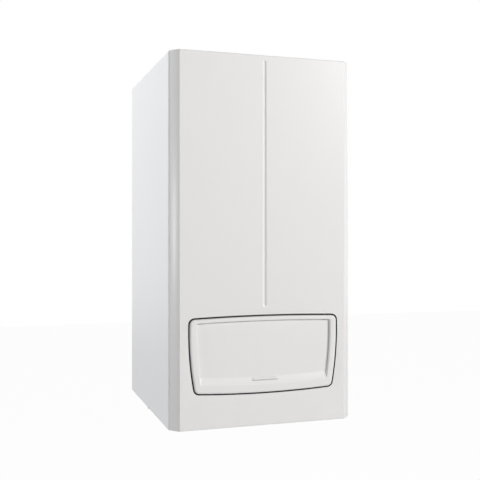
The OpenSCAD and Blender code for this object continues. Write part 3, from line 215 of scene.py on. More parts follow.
# Zinc-coated steel: each crystal has its own grey and gloss, so the sheet glitters in facets.
galvanised, tree, shader, place = finish("galvanised_steel", Metallic=1.0)
crystal = put(tree, "ShaderNodeTexVoronoi", {"Vector": place, "Scale": 1000 / 7})
shade = put(tree, "ShaderNodeSeparateColor", {0: crystal.outputs["Color"]})
put(
    tree,
    "ShaderNodeMix",
    {0: shade.outputs[0], 6: linear("#A7ACAE"), 7: linear("#C2C6C7")},
    {2: shader.inputs["Base Color"]},
    data_type="RGBA",
)
put(
    tree,
    "ShaderNodeMapRange",
    {0: shade.outputs[1], 3: 0.34, 4: 0.52},
    {0: shader.inputs["Roughness"]},
)
grain = put(tree, "ShaderNodeTexNoise", {"Vector": place, "Scale": 1000 / 1.2, "Detail": 4.0})
put(
    tree,
    "ShaderNodeBump",
    {"Height": grain.outputs[0], "Distance": 0.00003, "Strength": 0.6},
    {"Normal": shader.inputs["Normal"]},
)
dress(galvanised, "rear_frame", "exchanger_brackets", "dash_brackets", "bottom_panel")

# Side and top panels
# 1.2 mm steel sheet folded on a press brake, so every fold has a 2 mm outer bend, and sprayed with
# white powder coat. The coat has a very fine orange peel and a soft satin gloss.
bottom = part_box("front_cover")[0].z * 1000
body_of = {
    node: body
    for body, nodes in frame["record"]["behaviour"]["bodies"].items()
    for node in nodes
}


def built(name, shapes, material, bevel=0.0, wall=0.0, sharp=35, base=bottom):
    """One piece from shapes of points and faces, in millimetres from the casing's bottom edge"""
    form = bmesh.new()
    for points, faces in shapes:
        corners = [form.verts.new((x / 1000, y / 1000, (z + base) / 1000)) for x, y, z in points]
        for face in faces:
            form.faces.new([corners[i] for i in face])
        bmesh.ops.remove_doubles(form, verts=corners, dist=2e-6)
    bmesh.ops.dissolve_degenerate(form, edges=form.edges, dist=1e-6)
    bmesh.ops.recalc_face_normals(form, faces=form.faces)
    mesh = bpy.data.meshes.new(name)
    form.to_mesh(mesh)
    form.free()
    mesh.polygons.foreach_set("use_smooth", [True] * len(mesh.polygons))
    mesh.set_sharp_from_angle(angle=radians(sharp))
    mesh.materials.append(material)
    piece = bpy.data.objects.new(name, mesh)
    bpy.context.scene.collection.objects.link(piece)
    if wall:
        sheet = piece.modifiers.new("wall", "SOLIDIFY")
        sheet.thickness = wall / 1000
        sheet.offset = -1
        sheet.use_even_offset = True
    if bevel:
        edge = piece.modifiers.new("edge", "BEVEL")
        edge.width = bevel / 1000
        edge.segments = 2
        edge.limit_method = "ANGLE"
        edge.angle_limit = radians(sharp)
    piece.modifiers.new("shading", "WEIGHTED_NORMAL").keep_sharp = True
    return piece


def seat(piece, *nodes):
    """The piece stands for CAD nodes and moves with their body"""
    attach(piece, body_of[nodes[0]])
    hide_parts(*nodes)
    return piece


def loft(loops, closed=True, caps=False):
    """Quads between loops of equal count, with the ends left open or capped"""
    points = [p for loop in loops for p in loop]
    count = len(loops[0])
    faces = []
    for row in range(len(loops) - 1):
        for i in range(count if closed else count - 1):
            j = (i + 1) % count
            a, b = row * count, (row + 1) * count
            faces.append((a + i, a + j, b + j, b + i))
    if caps:
        faces.append(tuple(range(count)))
        faces.append(tuple(range(len(points) - count, len(points))))
    return points, faces


def rounded_path(corners, radii):
    """A polyline with its inner corners rounded"""
    steps = 6
    path = [Vector(corners[0])]
    for before, corner, after, radius in zip(corners, corners[1:], corners[2:], radii):
        before, corner, after = Vector(before), Vector(corner), Vector(after)
        back, on = (before - corner).normalized(), (after - corner).normalized()
        half = acos(max(-1, min(1, back.dot(on)))) / 2
        centre = corner + (back + on).normalized() * radius / sin(half)
        start = corner + back * radius / tan(half)
        end = corner + on * radius / tan(half)
        swing = (start - centre).angle_signed(end - centre)
        for i in range(steps + 1):
            turned = (start - centre).copy()
            turned.rotate(Matrix.Rotation(-swing * i / steps, 2))
            path.append(centre + turned)
    path.append(Vector(corners[-1]))
    return path


def powder_coat(name, colour, rough, gloss=0.0):
    """White powder coat: orange peel of 1.5 mm, drawn deep enough to break up the gloss"""
    material, tree, shader, place = finish(
        name, Roughness=rough, IOR=1.5, Coat_Weight=gloss, Coat_Roughness=0.24
    )
    cloud = put(tree, "ShaderNodeTexNoise", {"Vector": place, "Scale": 1000 / 180, "Detail": 3.0})
    put(
        tree,
        "ShaderNodeMix",
        {0: cloud.outputs[0], 6: linear(colour[0]), 7: linear(colour[1])},
        {2: shader.inputs["Base Color"]},
        data_type="RGBA",
    )
    peel = put(tree, "ShaderNodeTexNoise", {"Vector": place, "Scale": 1000 / 1.5, "Detail": 2.0})
    put(
        tree,
        "ShaderNodeBump",
        {"Height": peel.outputs[0], "Distance": 0.00004, "Strength": 0.5},
        {"Normal": shader.inputs["Normal"]},
    )
    return material


# Cool white powder coat, satin, which gives the side its soft fall from light to grey.
casing_white = powder_coat("casing_powder_coat", ("#ECEDED", "#EEEFEF"), 0.42)
panel_low, panel_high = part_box("side_panel_right")
side_x, panel_front = panel_high.x * 1000, panel_low.y * 1000
panel_top = panel_high.z * 1000 - bottom
SHEET, BEND, WALL_GAP = 1.2, 2, 1.5
FRONT_FLANGE, BACK_FLANGE = 18, 15
HEM, HEM_IN, HEM_BEND = 4, 0.3, 1.5
for hand, node in ((-1, "side_panel_left"), (1, "side_panel_right")):
    plan = rounded_path(
        [
            (side_x - FRONT_FLANGE, panel_front),
            (side_x, panel_front),
            (side_x, -WALL_GAP),
            (side_x - BACK_FLANGE, -WALL_GAP),
        ],
        [BEND, BEND],
    )
    wall_loops = [[(hand * x, y, z) for x, y in plan] for z in (0, panel_top)]
    shapes = [loft(wall_loops, closed=False)]
    for z, turn in ((SHEET, 1), (panel_top - SHEET, -1)):
        hem_x = side_x - HEM_IN
        hem = rounded_path(
            [(hem_x, z + turn * HEM), (hem_x, z), (side_x - BACK_FLANGE, z)], [HEM_BEND]
        )
        ends = (panel_front + SHEET, -WALL_GAP - SHEET)
        shapes.append(loft([[(hand * x, y, z) for x, z in hem] for y in ends], closed=False))
    seat(built(node + "_sheet", shapes, casing_white, wall=SHEET), node)
dress(casing_white, "top_panel")

# Casing screws
# Zinc-plated pan-head screws with a cross recess. Twelve hold the side panels to the top and bottom
# panels, and two hold the cover's foot. Each one has stopped at its own angle.
repeat_tree = bpy.data.node_groups.new("repeat_along_and_around", "GeometryNodeTree")
for name, kind in (
    ("Marks", "Geometry"),
    ("Unit", "Object"),
    ("Count", "Int"),
    ("Centre", "Vector"),
    ("Start", "Vector"),
    ("Step", "Vector"),
    ("Axis", "Vector"),
    ("Turn", "Float"),
    ("Phase", "Float"),
    ("Facing", "Vector"),
    ("Spin", "Float"),
    ("Seed", "Int"),
    ("Material", "Material"),
):
    repeat_tree.interface.new_socket(name, in_out="INPUT", socket_type="NodeSocket" + kind)
repeat_tree.interface.new_socket("Pieces", in_out="OUTPUT", socket_type="NodeSocketGeometry")
given = put(repeat_tree, "NodeGroupInput").outputs
index = put(repeat_tree, "GeometryNodeInputIndex").outputs[0]
angle = put(
    repeat_tree,
    "ShaderNodeMath",
    {0: index, 1: given["Turn"], 2: given["Phase"]},
    operation="MULTIPLY_ADD",
).outputs[0]
swung = put(
    repeat_tree,
    "ShaderNodeVectorRotate",
    {"Vector": given["Start"], "Axis": given["Axis"], "Angle": angle},
    rotation_type="AXIS_ANGLE",
).outputs[0]
stride = put(
    repeat_tree, "ShaderNodeVectorMath", {0: given["Step"], "Scale": index}, operation="SCALE"
).outputs[0]
offset = put(repeat_tree, "ShaderNodeVectorMath", {0: swung, 1: stride}, operation="ADD").outputs[0]
spot = put(
    repeat_tree, "ShaderNodeVectorMath", {0: offset, 1: given["Centre"]}, operation="ADD"
).outputs[0]
line = put(repeat_tree, "GeometryNodePoints", {"Count": given["Count"]}).outputs[0]
line = put(
    repeat_tree, "GeometryNodeSetPosition", {"Geometry": line, "Position": spot}
).outputs[0]
spots = put(repeat_tree, "GeometryNodeJoinGeometry", {0: line})
repeat_tree.links.new(given["Marks"], spots.inputs[0])
swing = put(repeat_tree, "FunctionNodeAxisAngleToRotation", {"Axis": given["Axis"], "Angle": angle})
least = put(
    repeat_tree, "ShaderNodeMath", {0: given["Spin"], 1: -1.0}, operation="MULTIPLY"
).outputs[0]
chance = put(
    repeat_tree, "FunctionNodeRandomValue", {2: least, 3: given["Spin"], 8: given["Seed"]}
).outputs[1]
spin = put(
    repeat_tree, "FunctionNodeAxisAngleToRotation", {"Axis": given["Facing"], "Angle": chance}
)
turned = put(
    repeat_tree,
    "FunctionNodeRotateRotation",
    {0: swing.outputs[0], 1: spin.outputs[0]},
    rotation_space="LOCAL",
)
unit = put(repeat_tree, "GeometryNodeObjectInfo", {"Object": given["Unit"], "As Instance": True})
pieces = put(
    repeat_tree,
    "GeometryNodeInstanceOnPoints",
    {
        "Points": spots.outputs[0],
        "Instance": unit.outputs["Geometry"],
        "Rotation": turned.outputs[0],
    },
).outputs[0]
real = put(repeat_tree, "GeometryNodeRealizeInstances", {"Geometry": pieces}).outputs[0]
real = put(
    repeat_tree, "GeometryNodeSetMaterial", {"Geometry": real, "Material": given["Material"]}
).outputs[0]
put(repeat_tree, "NodeGroupOutput", {"Pieces": real})


def repeated(name, shapes, material, marks=(), bevel=0.0, **values):
    """One plain mesh of a unit at marks, or along a step and around an axis, in millimetres"""
    unit = built(name + "_unit", shapes, material, bevel=bevel, base=0)
    mesh = bpy.data.meshes.new(name)
    mesh.from_pydata([(x / 1000, y / 1000, (z + bottom) / 1000) for x, y, z in marks], [], [])
    holder = bpy.data.objects.new(name, mesh)
    bpy.context.scene.collection.objects.link(holder)
    given = {"Centre": (0, 0, 0), "Start": (0, 0, 0), "Step": (0, 0, 0)}
    given |= {"Axis": (0, 0, 1), "Facing": (0, 0, 1), "Seed": 7} | values
    x, y, z = given["Centre"]
    given["Centre"] = (x / 1000, y / 1000, (z + bottom) / 1000)
    given["Start"] = [v / 1000 for v in given["Start"]]
    given["Step"] = [v / 1000 for v in given["Step"]]
    given |= {"Unit": unit, "Material": material}
    grow = holder.modifiers.new("repeat", "NODES")
    grow.node_group = repeat_tree
    for item in repeat_tree.interface.items_tree:
        if item.name in given and item.in_out == "INPUT":
            grow[item.identifier] = given[item.name]
    result = bpy.data.meshes.new_from_object(
        holder.evaluated_get(bpy.context.evaluated_depsgraph_get())
    )
    result.name = name
    holder.modifiers.clear()
    holder.data = result
    bpy.data.objects.remove(unit)
    return holder


def beside(piece, node):
    """The piece adds to a CAD node and moves with its body"""
    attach(piece, body_of[node])
    return piece


def lathe(profile, centre, axis="z", count=48):
    """A turned form from radii and distances along its axis, either of which may vary around it"""
    loops = []
    for radius, along in profile:
        loop = []
        for i in range(count):
            a = 2 * pi * i / count
            r = radius(a) if callable(radius) else radius
            d = along(a) if callable(along) else along
            u, v = r * cos(a), r * sin(a)
            x, y, z = {"x": (d, u, v), "y": (u, d, v), "z": (u, v, d)}[axis]
            loop.append((centre[0] + x, centre[1] + y, centre[2] + z))
        loops.append(loop)
    return loft(loops)


def size_of(radius, size):
    """A radius or a radius function, scaled"""
    return (lambda a: radius(a) * size) if callable(radius) else radius * size


def screw(axis="z", way=1, size=1.0, shank=10):
    """A pan-head screw with a cross recess, its seat at the origin"""

    def recess(reach, width):
        def radius(a):
            off = abs((a + pi / 4) % (pi / 2) - pi / 4)
            return reach / cos(off) if tan(off) < width / reach else width / sin(off)

        return radius

    profile = [(0, -shank), (1.4, -shank), (2.0, 0.8 - shank), (2.0, 0), (4.5, 0), (4.5, 0.9)]
    profile += [(4.25, 1.55), (3.7, 2.1), (3.0, 2.45), (recess(2.5, 0.6), 2.5)]
    profile += [(recess(2.1, 0.5), 1.3), (0, 1.0)]
    return lathe([(size_of(r, size), way * size * d) for r, d in profile], (0, 0, 0), axis)


# Bright zinc plating: clouds of bluish and yellowish grey, so small heads glint unevenly.
zinc_plate, tree, shader, place = finish("zinc_plated_steel", Metallic=1.0)
tone = put(tree, "ShaderNodeTexNoise", {"Vector": place, "Scale": 1000 / 6, "Detail": 2.0})
put(
    tree,
    "ShaderNodeMix",
    {0: tone.outputs[0], 6: linear("#A9ADB4"), 7: linear("#C6C6C0")},
    {2: shader.inputs["Base Color"]},
    data_type="RGBA",
)
put(
    tree,
    "ShaderNodeMapRange",
    {0: tone.outputs[0], 3: 0.22, 4: 0.36},
    {0: shader.inputs["Roughness"]},
)
SCREW_X, SCREW_YS = side_x - SHEET - 7.5, (panel_front + 60, -245, -60)
SPIN = 1.5
for name, way, level in (("panel_screws_top", 1, panel_top), ("panel_screws_bottom", -1, 0)):
    marks = [(side * SCREW_X, y, level) for y in SCREW_YS for side in (-1, 1)]
    seat(repeated(name, [screw(way=way)], zinc_plate, marks, Spin=SPIN), "panel_screws")
COVER_SCREW_X = 130
marks = [(side * COVER_SCREW_X, panel_front - 9, -0.3) for side in (-1, 1)]
piece = repeated("cover_screws_zinc", [screw(way=-1)], zinc_plate, marks, Spin=SPIN, Seed=3)
seat(piece, "cover_screws")

# Exchanger drum and coil
# The drum is rolled and welded stainless sheet with three pressed beads, and the coil of stainless
# tube lies inside it. Rolling leaves fine lines round the drum.


def softened(node, material, radius):
    """A copy of a CAD node's mesh with rounded edges, which stands for the node"""
    sharp = radians(35)
    source = frame["nodes"][node]
    form = bmesh.new()
    form.from_mesh(source.data)
    form.transform(source.matrix_world)
    bmesh.ops.remove_doubles(form, verts=form.verts, dist=2e-6)
    bmesh.ops.dissolve_limit(form, angle_limit=radians(0.6), verts=form.verts, edges=form.edges)
    mesh = bpy.data.meshes.new(node + "_" + material.name)
    form.to_mesh(mesh)
    form.free()
    mesh.polygons.foreach_set("use_smooth", [True] * len(mesh.polygons))
    mesh.set_sharp_from_angle(angle=sharp)
    mesh.materials.clear()
    mesh.materials.append(material)
    piece = bpy.data.objects.new(mesh.name, mesh)
    bpy.context.scene.collection.objects.link(piece)
    edge = piece.modifiers.new("edge", "BEVEL")
    edge.width = radius / 1000
    edge.segments = 2
    edge.limit_method = "ANGLE"
    edge.angle_limit = sharp
    piece.modifiers.new("shading", "WEIGHTED_NORMAL").keep_sharp = True
    return seat(piece, node)


def metal(name, low, high, rough, cloud=30, lines=(1, 1, 1), pitch=1.0, depth=0.02):
    """A bare metal: patches of tarnish, and marks stretched along lines, all in millimetres"""
    material, tree, shader, place = finish(name, Metallic=1.0)
    patch = put(tree, "ShaderNodeTexNoise", {"Vector": place, "Scale": 1000 / cloud, "Detail": 4.0})
    put(
        tree,
        "ShaderNodeMix",
        {0: patch.outputs[0], 6: linear(low), 7: linear(high)},
        {2: shader.inputs["Base Color"]},
        data_type="RGBA",
    )
    put(
        tree,
        "ShaderNodeMapRange",
        {0: patch.outputs[0], 1: 0.3, 2: 0.7, 3: rough - 0.07, 4: rough + 0.07},
        {0: shader.inputs["Roughness"]},
    )
    drawn = put(tree, "ShaderNodeMapping", {"Vector": place, "Scale": lines}).outputs[0]
    mark = put(tree, "ShaderNodeTexNoise", {"Vector": drawn, "Scale": 1000 / pitch, "Detail": 3.0})
    put(
        tree,
        "ShaderNodeBump",
        {"Height": mark.outputs[0], "Distance": depth / 1000, "Strength": 0.7},
        {"Normal": shader.inputs["Normal"]},
    )
    return material


# Rolled stainless steel: fine lines run round the drum and stretch its highlights across it.
rolled_stainless = metal(
    "rolled_stainless", "#9C9E9F", "#B7B8B8", 0.3, cloud=60, lines=(0.05, 1, 0.05), pitch=1.2
)
softened("exchanger_shell", rolled_stainless, 0.7)
DRUM_Z = 565
BEAD = [(124.4, -5), (125.6, -4), (127.2, -2), (127.7, 0), (127.2, 2), (125.6, 4), (124.4, 5)]
beads = [lathe(BEAD + BEAD[:1], (0, y, DRUM_Z), "y", 96) for y in (-122, -190, -258)]
beside(built("exchanger_beads", beads, rolled_stainless), "exchanger_shell")

# Heat-tinted stainless tube: straw and brown patches over grey, as the flame leaves it.
heat_tinted = metal(
    "heat_tinted_stainless", "#8A7A66", "#A9A5A2", 0.35, cloud=35, lines=(1, 0.1, 1), pitch=0.9
)
dress(heat_tinted, "exchanger_coil")

# Burner door, its insulation, burner and electrodes
# The door is a sand-cast aluminium lid with the fan's duct and six ribs cast on, held by five M8
# nuts. Behind it lie a ceramic fibre board, a perforated steel burner, and ceramic electrodes.

# Sand-cast aluminium: a coarse, dull grain, so the door looks rough beside the bright drum.
sand_cast = metal("sand_cast_aluminium", "#9DA0A1", "#B4B6B6", 0.5, cloud=25, pitch=1.4, depth=0.16)
softened("burner_door", sand_cast, 1.6)
DOOR_Y, DUCT_FRONT = -302, -362
INWARD = (0, 1, 0)
rib_shape = loft(
    [
        [(x, y, z) for x, z in ((-w, -r), (w, -r), (w, r), (-w, r))]
        for w, r, y in ((3.2, 30, 1), (2.2, 28.5, -5))
    ],
    caps=True,
)
door_ring = {"Centre": (0, DOOR_Y, DRUM_Z), "Axis": INWARD, "Turn": pi / 3}
door_ribs = {"Start": (0, 0, 72), "Phase": pi / 6, "Count": 6} | door_ring
piece = repeated("burner_door_ribs", [rib_shape], sand_cast, bevel=0.9, **door_ribs)
beside(piece, "burner_door")


def nut(across, height, hole, axis="z", way=1, centre=(0, 0, 0)):
    """A hexagon nut with both ends turned to a cone"""
    flat = across / 2
    corner = lambda a: flat / cos((a + pi / 6) % (pi / 3) - pi / 6)
    low = lambda a: way * (corner(a) - 0.95 * flat) * 0.577
    high = lambda a: way * (height - (corner(a) - 0.95 * flat) * 0.577)
    profile = [(hole, 0), (0.95 * flat, 0), (corner, low), (corner, high)]
    profile += [(0.95 * flat, way * height), (hole, way * height), (hole, 0)]
    return lathe(profile, centre, axis)


WASHER = [(4.2, 0.2), (8.5, 0.2), (8.5, -1.3), (8.2, -1.6), (4.2, -1.6), (4.2, 0.2)]
STUD = [(0, 0), (4, 0), (4, -10.4), (3.4, -11), (0, -11.2)]
fixing = [lathe(rows, (0, 0, 0), "y") for rows in (WASHER, STUD)]
fixing.append(nut(13, 6.5, 3.9, "y", -1, (0, -1.6, 0)))
door_nuts = {"Start": (0, 0, 122), "Phase": pi / 3, "Count": 5} | door_ring
piece = repeated("burner_door_nuts", fixing, zinc_plate, Spin=1.0, Facing=INWARD, **door_nuts)
beside(piece, "burner_door")

# Ceramic fibre board: matt cream with matted fibres, the only soft surface in the drum.
fibre_board, tree, shader, place = finish("ceramic_fibre_board", Roughness=0.95)
strand = put(tree, "ShaderNodeTexNoise", {"Vector": place, "Scale": 1000 / 2.5, "Detail": 6.0})
put(
    tree,
    "ShaderNodeMix",
    {0: strand.outputs[0], 6: linear("#D9D2BF"), 7: linear("#EFEBDF")},
    {2: shader.inputs["Base Color"]},
    data_type="RGBA",
)
put(
    tree,
    "ShaderNodeBump",
    {"Height": strand.outputs[0], "Distance": 0.0006, "Strength": 0.7},
    {"Normal": shader.inputs["Normal"]},
)
dress(fibre_board, "door_insulation")

# Perforated burner steel: heat-browned sheet with punched holes painted near black, which is
# painted shade for the dark inside each hole.
perforated, tree, shader, place = finish("perforated_burner_steel", Metallic=1.0, Roughness=0.42)
hole = put(
    tree, "ShaderNodeTexVoronoi", {"Vector": place, "Scale": 1000 / 3.0, "Randomness": 0.15}
)
rim = put(
    tree, "ShaderNodeMapRange", {0: hole.outputs["Distance"], 1: 0.22, 2: 0.3, 3: 0.0, 4: 1.0}
).outputs[0]
# The near-black in the holes is painted shade: the dark seen inside each hole.
put(
    tree,
    "ShaderNodeMix",
    {0: rim, 6: linear("#1C1A18"), 7: linear("#8E8478")},
    {2: shader.inputs["Base Color"]},
    data_type="RGBA",
)
put(
    tree,
    "ShaderNodeBump",
    {"Height": rim, "Distance": 0.0006, "Strength": 0.9},
    {"Normal": shader.inputs["Normal"]},
)
dress(perforated, "burner_tube")

# Glazed ceramic: cream and glassy, so the electrodes' insulators stand out from the metal.
glazed, tree, shader, place = finish("glazed_ceramic", Roughness=0.25, IOR=1.52)
speck = put(tree, "ShaderNodeTexNoise", {"Vector": place, "Scale": 1000 / 3, "Detail": 3.0})
put(
    tree,
    "ShaderNodeMix",
    {0: speck.outputs[0], 6: linear("#E4DECF"), 7: linear("#F0ECE2")},
    {2: shader.inputs["Base Color"]},
    data_type="RGBA",
)
softened("electrodes", glazed, 0.5)
ELECTRODE_X, ELECTRODE_RISE = 52, 30
FLANGE = [(6.1, 0.4), (11, 0.4), (11, -2.2), (10.4, -2.8), (6.1, -2.8), (6.1, 0.4)]
flanges = [
    lathe(FLANGE, (ELECTRODE_X, DOOR_Y, DRUM_Z + rise), "y")
    for rise in (-ELECTRODE_RISE, ELECTRODE_RISE)
]
beside(built("electrode_flanges", flanges, zinc_plate), "burner_door")

# Fan
# The housing is die-cast aluminium, closed by six screws. Its motor is moulded over in black
# glass-filled nylon with cooling ribs, and the impeller is a light alloy wheel.

# Die-cast aluminium: smoother and a little brighter than the sand casting, with a faint flow grain.
die_cast = metal("die_cast_aluminium", "#A4A6A8", "#B9BABB", 0.42, cloud=40, pitch=0.9, depth=0.05)
softened("fan_housing", die_cast, 2.2)
dress(die_cast, "fan_impeller")
FAN_X, FAN_Z, BOSS = -55, 735, 3.2
boss = lathe([(0, 0.5), (6.4, 0.5), (6.0, -2.6), (5.4, -BOSS), (0, -BOSS)], (0, 0, 0), "y", 32)
fan_ring = {"Centre": (FAN_X, DUCT_FRONT, FAN_Z), "Start": (0, 0, 71), "Axis": INWARD}
fan_ring |= {"Turn": pi / 3, "Phase": pi / 6, "Count": 6}
beside(repeated("fan_bosses", [boss], die_cast, **fan_ring), "fan_housing")
fan_ring |= {"Centre": (FAN_X, DUCT_FRONT - BOSS, FAN_Z), "Facing": INWARD, "Spin": SPIN}
piece = repeated("fan_screws", [screw("y", -1, 0.9, 3)], zinc_plate, **fan_ring)
beside(piece, "fan_housing")


def moulded(name, colour, rough=0.5, grain=0.9, depth=0.03):
    """Moulded plastic with the fine spark-eroded grain of its tool, given in millimetres"""
    material, tree, shader, place = finish(name, Base_Color=linear(colour), IOR=1.46)
    bite = put(tree, "ShaderNodeTexNoise", {"Vector": place, "Scale": 1000 / grain, "Detail": 3.0})
    put(
        tree,
        "ShaderNodeBump",
        {"Height": bite.outputs[0], "Distance": depth / 1000, "Strength": 0.6},
        {"Normal": shader.inputs["Normal"]},
    )
    wear = put(tree, "ShaderNodeTexNoise", {"Vector": place, "Scale": 1000 / 45, "Detail": 2.0})
    put(
        tree,
        "ShaderNodeMapRange",
        {0: wear.outputs[0], 1: 0.3, 2: 0.7, 3: rough - 0.05, 4: rough + 0.05},
        {0: shader.inputs["Roughness"]},
    )
    return material


# Black glass-filled nylon: near black with a half-matt skin, so its ribs show as thin grey lights.
motor_black = moulded("black_glass_nylon", "#1B1B1D", rough=0.45, grain=1.0, depth=0.05)
softened("fan_motor", motor_black, 1.2)


def block(low, high):
    """A block between two corners, which gets its rounded edges from its bevel"""
    (x0, y0, z0), (x1, y1, z1) = low, high
    return loft(
        [[(x0, y0, z), (x1, y0, z), (x1, y1, z), (x0, y1, z)] for z in (z0, z1)],
        caps=True,
    )


MOTOR_RIBS = 30
motor_rib = block((-1.1, -19, -1), (1.1, 19, 1.6))
piece = repeated(
    "fan_motor_ribs",
    [motor_rib],
    motor_black,
    bevel=0.5,
    Centre=(FAN_X, -277, FAN_Z),
    Start=(0, 0, 42),
    Axis=INWARD,
    Turn=2 * pi / MOTOR_RIBS,
    Count=MOTOR_RIBS,
)
beside(piece, "fan_motor")
plug = [
    block((FAN_X - 14, -292, FAN_Z + 39), (FAN_X + 14, -266, FAN_Z + 50)),
    block((FAN_X - 10, -296, FAN_Z + 41), (FAN_X + 10, -290, FAN_Z + 49)),
]
beside(built("fan_motor_plug", plug, motor_black, bevel=0.8), "fan_motor")

# Air and gas mixer, gas valve and gas pipe
# The mixer and the valve's body are cast alloy, and the valve's two coils are capped with black
# nylon. The gas pipe is bare metal tube, bent cold and closed with brass union nuts.
softened("air_gas_mixer", sand_cast, 1.0)
softened("gas_valve", die_cast, 1.6)
VALVE_X, VALVE_Y, VALVE_Z, VALVE_FRONT = 90, -392, 392, -420
COIL_CAP = [(0, -8), (15.6, -8), (16.6, -9), (16.6, -23.4), (15.4, -24.6), (9, -24.6), (8.4, -23.8)]
COIL_CAP += [(3.4, -23.8), (3, -24.6), (0, -25)]
caps = []
for z in (VALVE_Z - 18, VALVE_Z + 18):
    spot = (VALVE_X, VALVE_FRONT + 1, z)
    caps.append(lathe(COIL_CAP, spot, "y"))
    for d in (-12.4, -17.4):
        ring_rows = [(16.3, d), (17.2, d - 0.4), (17.2, d - 1.8), (16.3, d - 2.2), (16.3, d)]
        caps.append(lathe(ring_rows, spot, "y"))
beside(built("gas_valve_coil_caps", caps, motor_black), "gas_valve")
plug = [
    block((122.6, VALVE_Y - 13, VALVE_Z - 23), (138.4, VALVE_Y + 13, VALVE_Z + 23)),
    block((138, VALVE_Y - 8, VALVE_Z - 18), (141, VALVE_Y + 8, VALVE_Z + 18)),
]
beside(built("gas_valve_plug", plug, motor_black, bevel=1.0), "gas_valve")
marks = [
    (VALVE_X + sx * 26, VALVE_FRONT, VALVE_Z + rise) for sx in (-1, 1) for rise in (-36, 0, 36)
]
valve_screw = screw("y", -1, 0.8, 3)
piece = repeated(
    "gas_valve_screws", [valve_screw], zinc_plate, marks, Spin=SPIN, Seed=5, Facing=INWARD
)
beside(piece, "gas_valve")

# Bare gas tube: yellow metal with fine draw lines along it, duller than the turned nuts.
gas_tube = metal(
    "bare_gas_tube", "#B08A4E", "#CBA668", 0.33, cloud=28, lines=(1, 1, 0.08), pitch=0.8
)
dress(gas_tube, "gas_pipes")

# Turned brass: warm yellow with close tool rings that spread the highlight sideways.
turned_brass = metal(
    "turned_brass", "#B08D48", "#CBAA62", 0.3, cloud=18, lines=(1, 1, 4), pitch=0.9
)
gas_nuts = [nut(41, 13, 10.6, centre=(VALVE_X, VALVE_Y, z)) for z in (339.4, 431.6)]
gas_nuts.append(nut(33, 14, 10.6, "x", centre=(-15, VALVE_Y, FAN_Z)))
beside(built("gas_union_nuts", gas_nuts, turned_brass), "gas_pipes")

# Flue hood, flue pipe and flue collar
# All three are moulded polypropylene: a dark hood bolted to the drum's back, a white pipe pushed
# into its socket, and a white collar with a rolled lip, a gasket and four screws on the top panel.

# Dark grey polypropylene: matt and slightly waxy, so the hood recedes behind the drum.
hood_grey = moulded("hood_polypropylene", "#3A3A3C", rough=0.5, grain=1.2, depth=0.04)
softened("flue_hood", hood_grey, 2.0)

# Flue polypropylene: a greyer white than the paint, with a soft gloss along the pipe.
flue_white = moulded("flue_polypropylene", "#E2E2DE", rough=0.38, grain=1.5, depth=0.02)
dress(flue_white, "flue_pipe")

# Collar polypropylene: a cleaner white with fine grain, close to the casing's colour.
collar_white = moulded("collar_polypropylene", "#ECECEA", rough=0.4, grain=1.2, depth=0.02)
softened("flue_collar", collar_white, 0.9)
FLUE_Y = -85
COLLAR_LIP = [(61.4, 34.6), (63.6, 34.6), (64.2, 35.3), (64.2, 36.4), (63.5, 37.1), (61.6, 37.1)]
COLLAR_LIP += [(61, 36.4), (61.4, 34.6)]
COLLAR_STEP = [(62, 11), (63.6, 11.6), (63.6, 14.4), (62, 15), (62, 11)]
collar_centre = (0, FLUE_Y, panel_top)
rings = [lathe(rows, collar_centre, count=96) for rows in (COLLAR_LIP, COLLAR_STEP)]
beside(built("flue_collar_lip", rings, collar_white), "flue_collar")

# Black EPDM rubber: dull and dark, a thin line under the collar and two small caps.
rubber_black = moulded("black_epdm", "#1E1E1F", rough=0.7, grain=1.4, depth=0.08)
GASKET = [(70, 0.02), (77.8, 0.02), (78.2, 0.5), (77.8, 1.1), (70, 1.1), (70, 0.02)]
gasket = lathe(GASKET, collar_centre, count=96)
beside(built("flue_collar_gasket", [gasket], rubber_black), "flue_collar")
piece = repeated(
    "flue_collar_screws",
    [screw(size=0.85, shank=4)],
    zinc_plate,
    Centre=(0, FLUE_Y, panel_top + 3),
    Start=(70.2, 0, 0),
    Turn=pi / 2,
    Phase=pi / 4,
    Count=4,
    Spin=SPIN,
)
beside(piece, "flue_collar")
COLLAR_R, CAP_X, CAP_RISE = 62.2, 14, 22
TEST_CAP = [(0, 4), (7.2, 4), (7.6, 3.4), (7.6, 0.4), (6.4, 0), (0, 0)]
caps = [
    lathe([(r, -COLLAR_R - d) for r, d in TEST_CAP], (x, FLUE_Y, panel_top + CAP_RISE), "y", 32)
    for x in (-CAP_X, CAP_X)
]
beside(built("flue_test_caps", caps, rubber_black), "flue_collar")

# Water pipes, pump, safety valve, drain cock and air vent
# Copper tube, bent and brazed, joins the drum, the cast-iron pump and the fittings through brass
# nuts. The pump's motor can is ribbed and painted red, with a black terminal box and speed knob.

# Copper tube: reddish, with darker patches from handling and fine lines along the draw.
copper = metal("copper_tube", "#A8603F", "#C98161", 0.3, cloud=22, lines=(1, 1, 0.08), pitch=0.8)
dress(copper, "flow_pipe", "return_pipes")
PIPE_Y, PORT_X = -90, 133.8
PUMP_X, PUMP_Z, PUMP_PORT = 168.8, 215, 32.8
water_nuts = [
    nut(40, 12, 13.6, "x", side, (side * PORT_X, PIPE_Y, z)) for side, z in ((-1, 620), (1, 500))
]
water_nuts += [
    nut(39, 12.6, 13.6, "z", way, (PUMP_X, PIPE_Y, PUMP_Z + way * PUMP_PORT)) for way in (-1, 1)
]
beside(built("water_union_nuts", water_nuts, turned_brass), "flow_pipe")

# Painted cast iron: dark paint over a coarse casting, so the pump body looks heavy.
cast_iron = moulded("painted_cast_iron", "#2A2E30", rough=0.5, grain=2.2, depth=0.22)
softened("pump_body", cast_iron, 2.0)

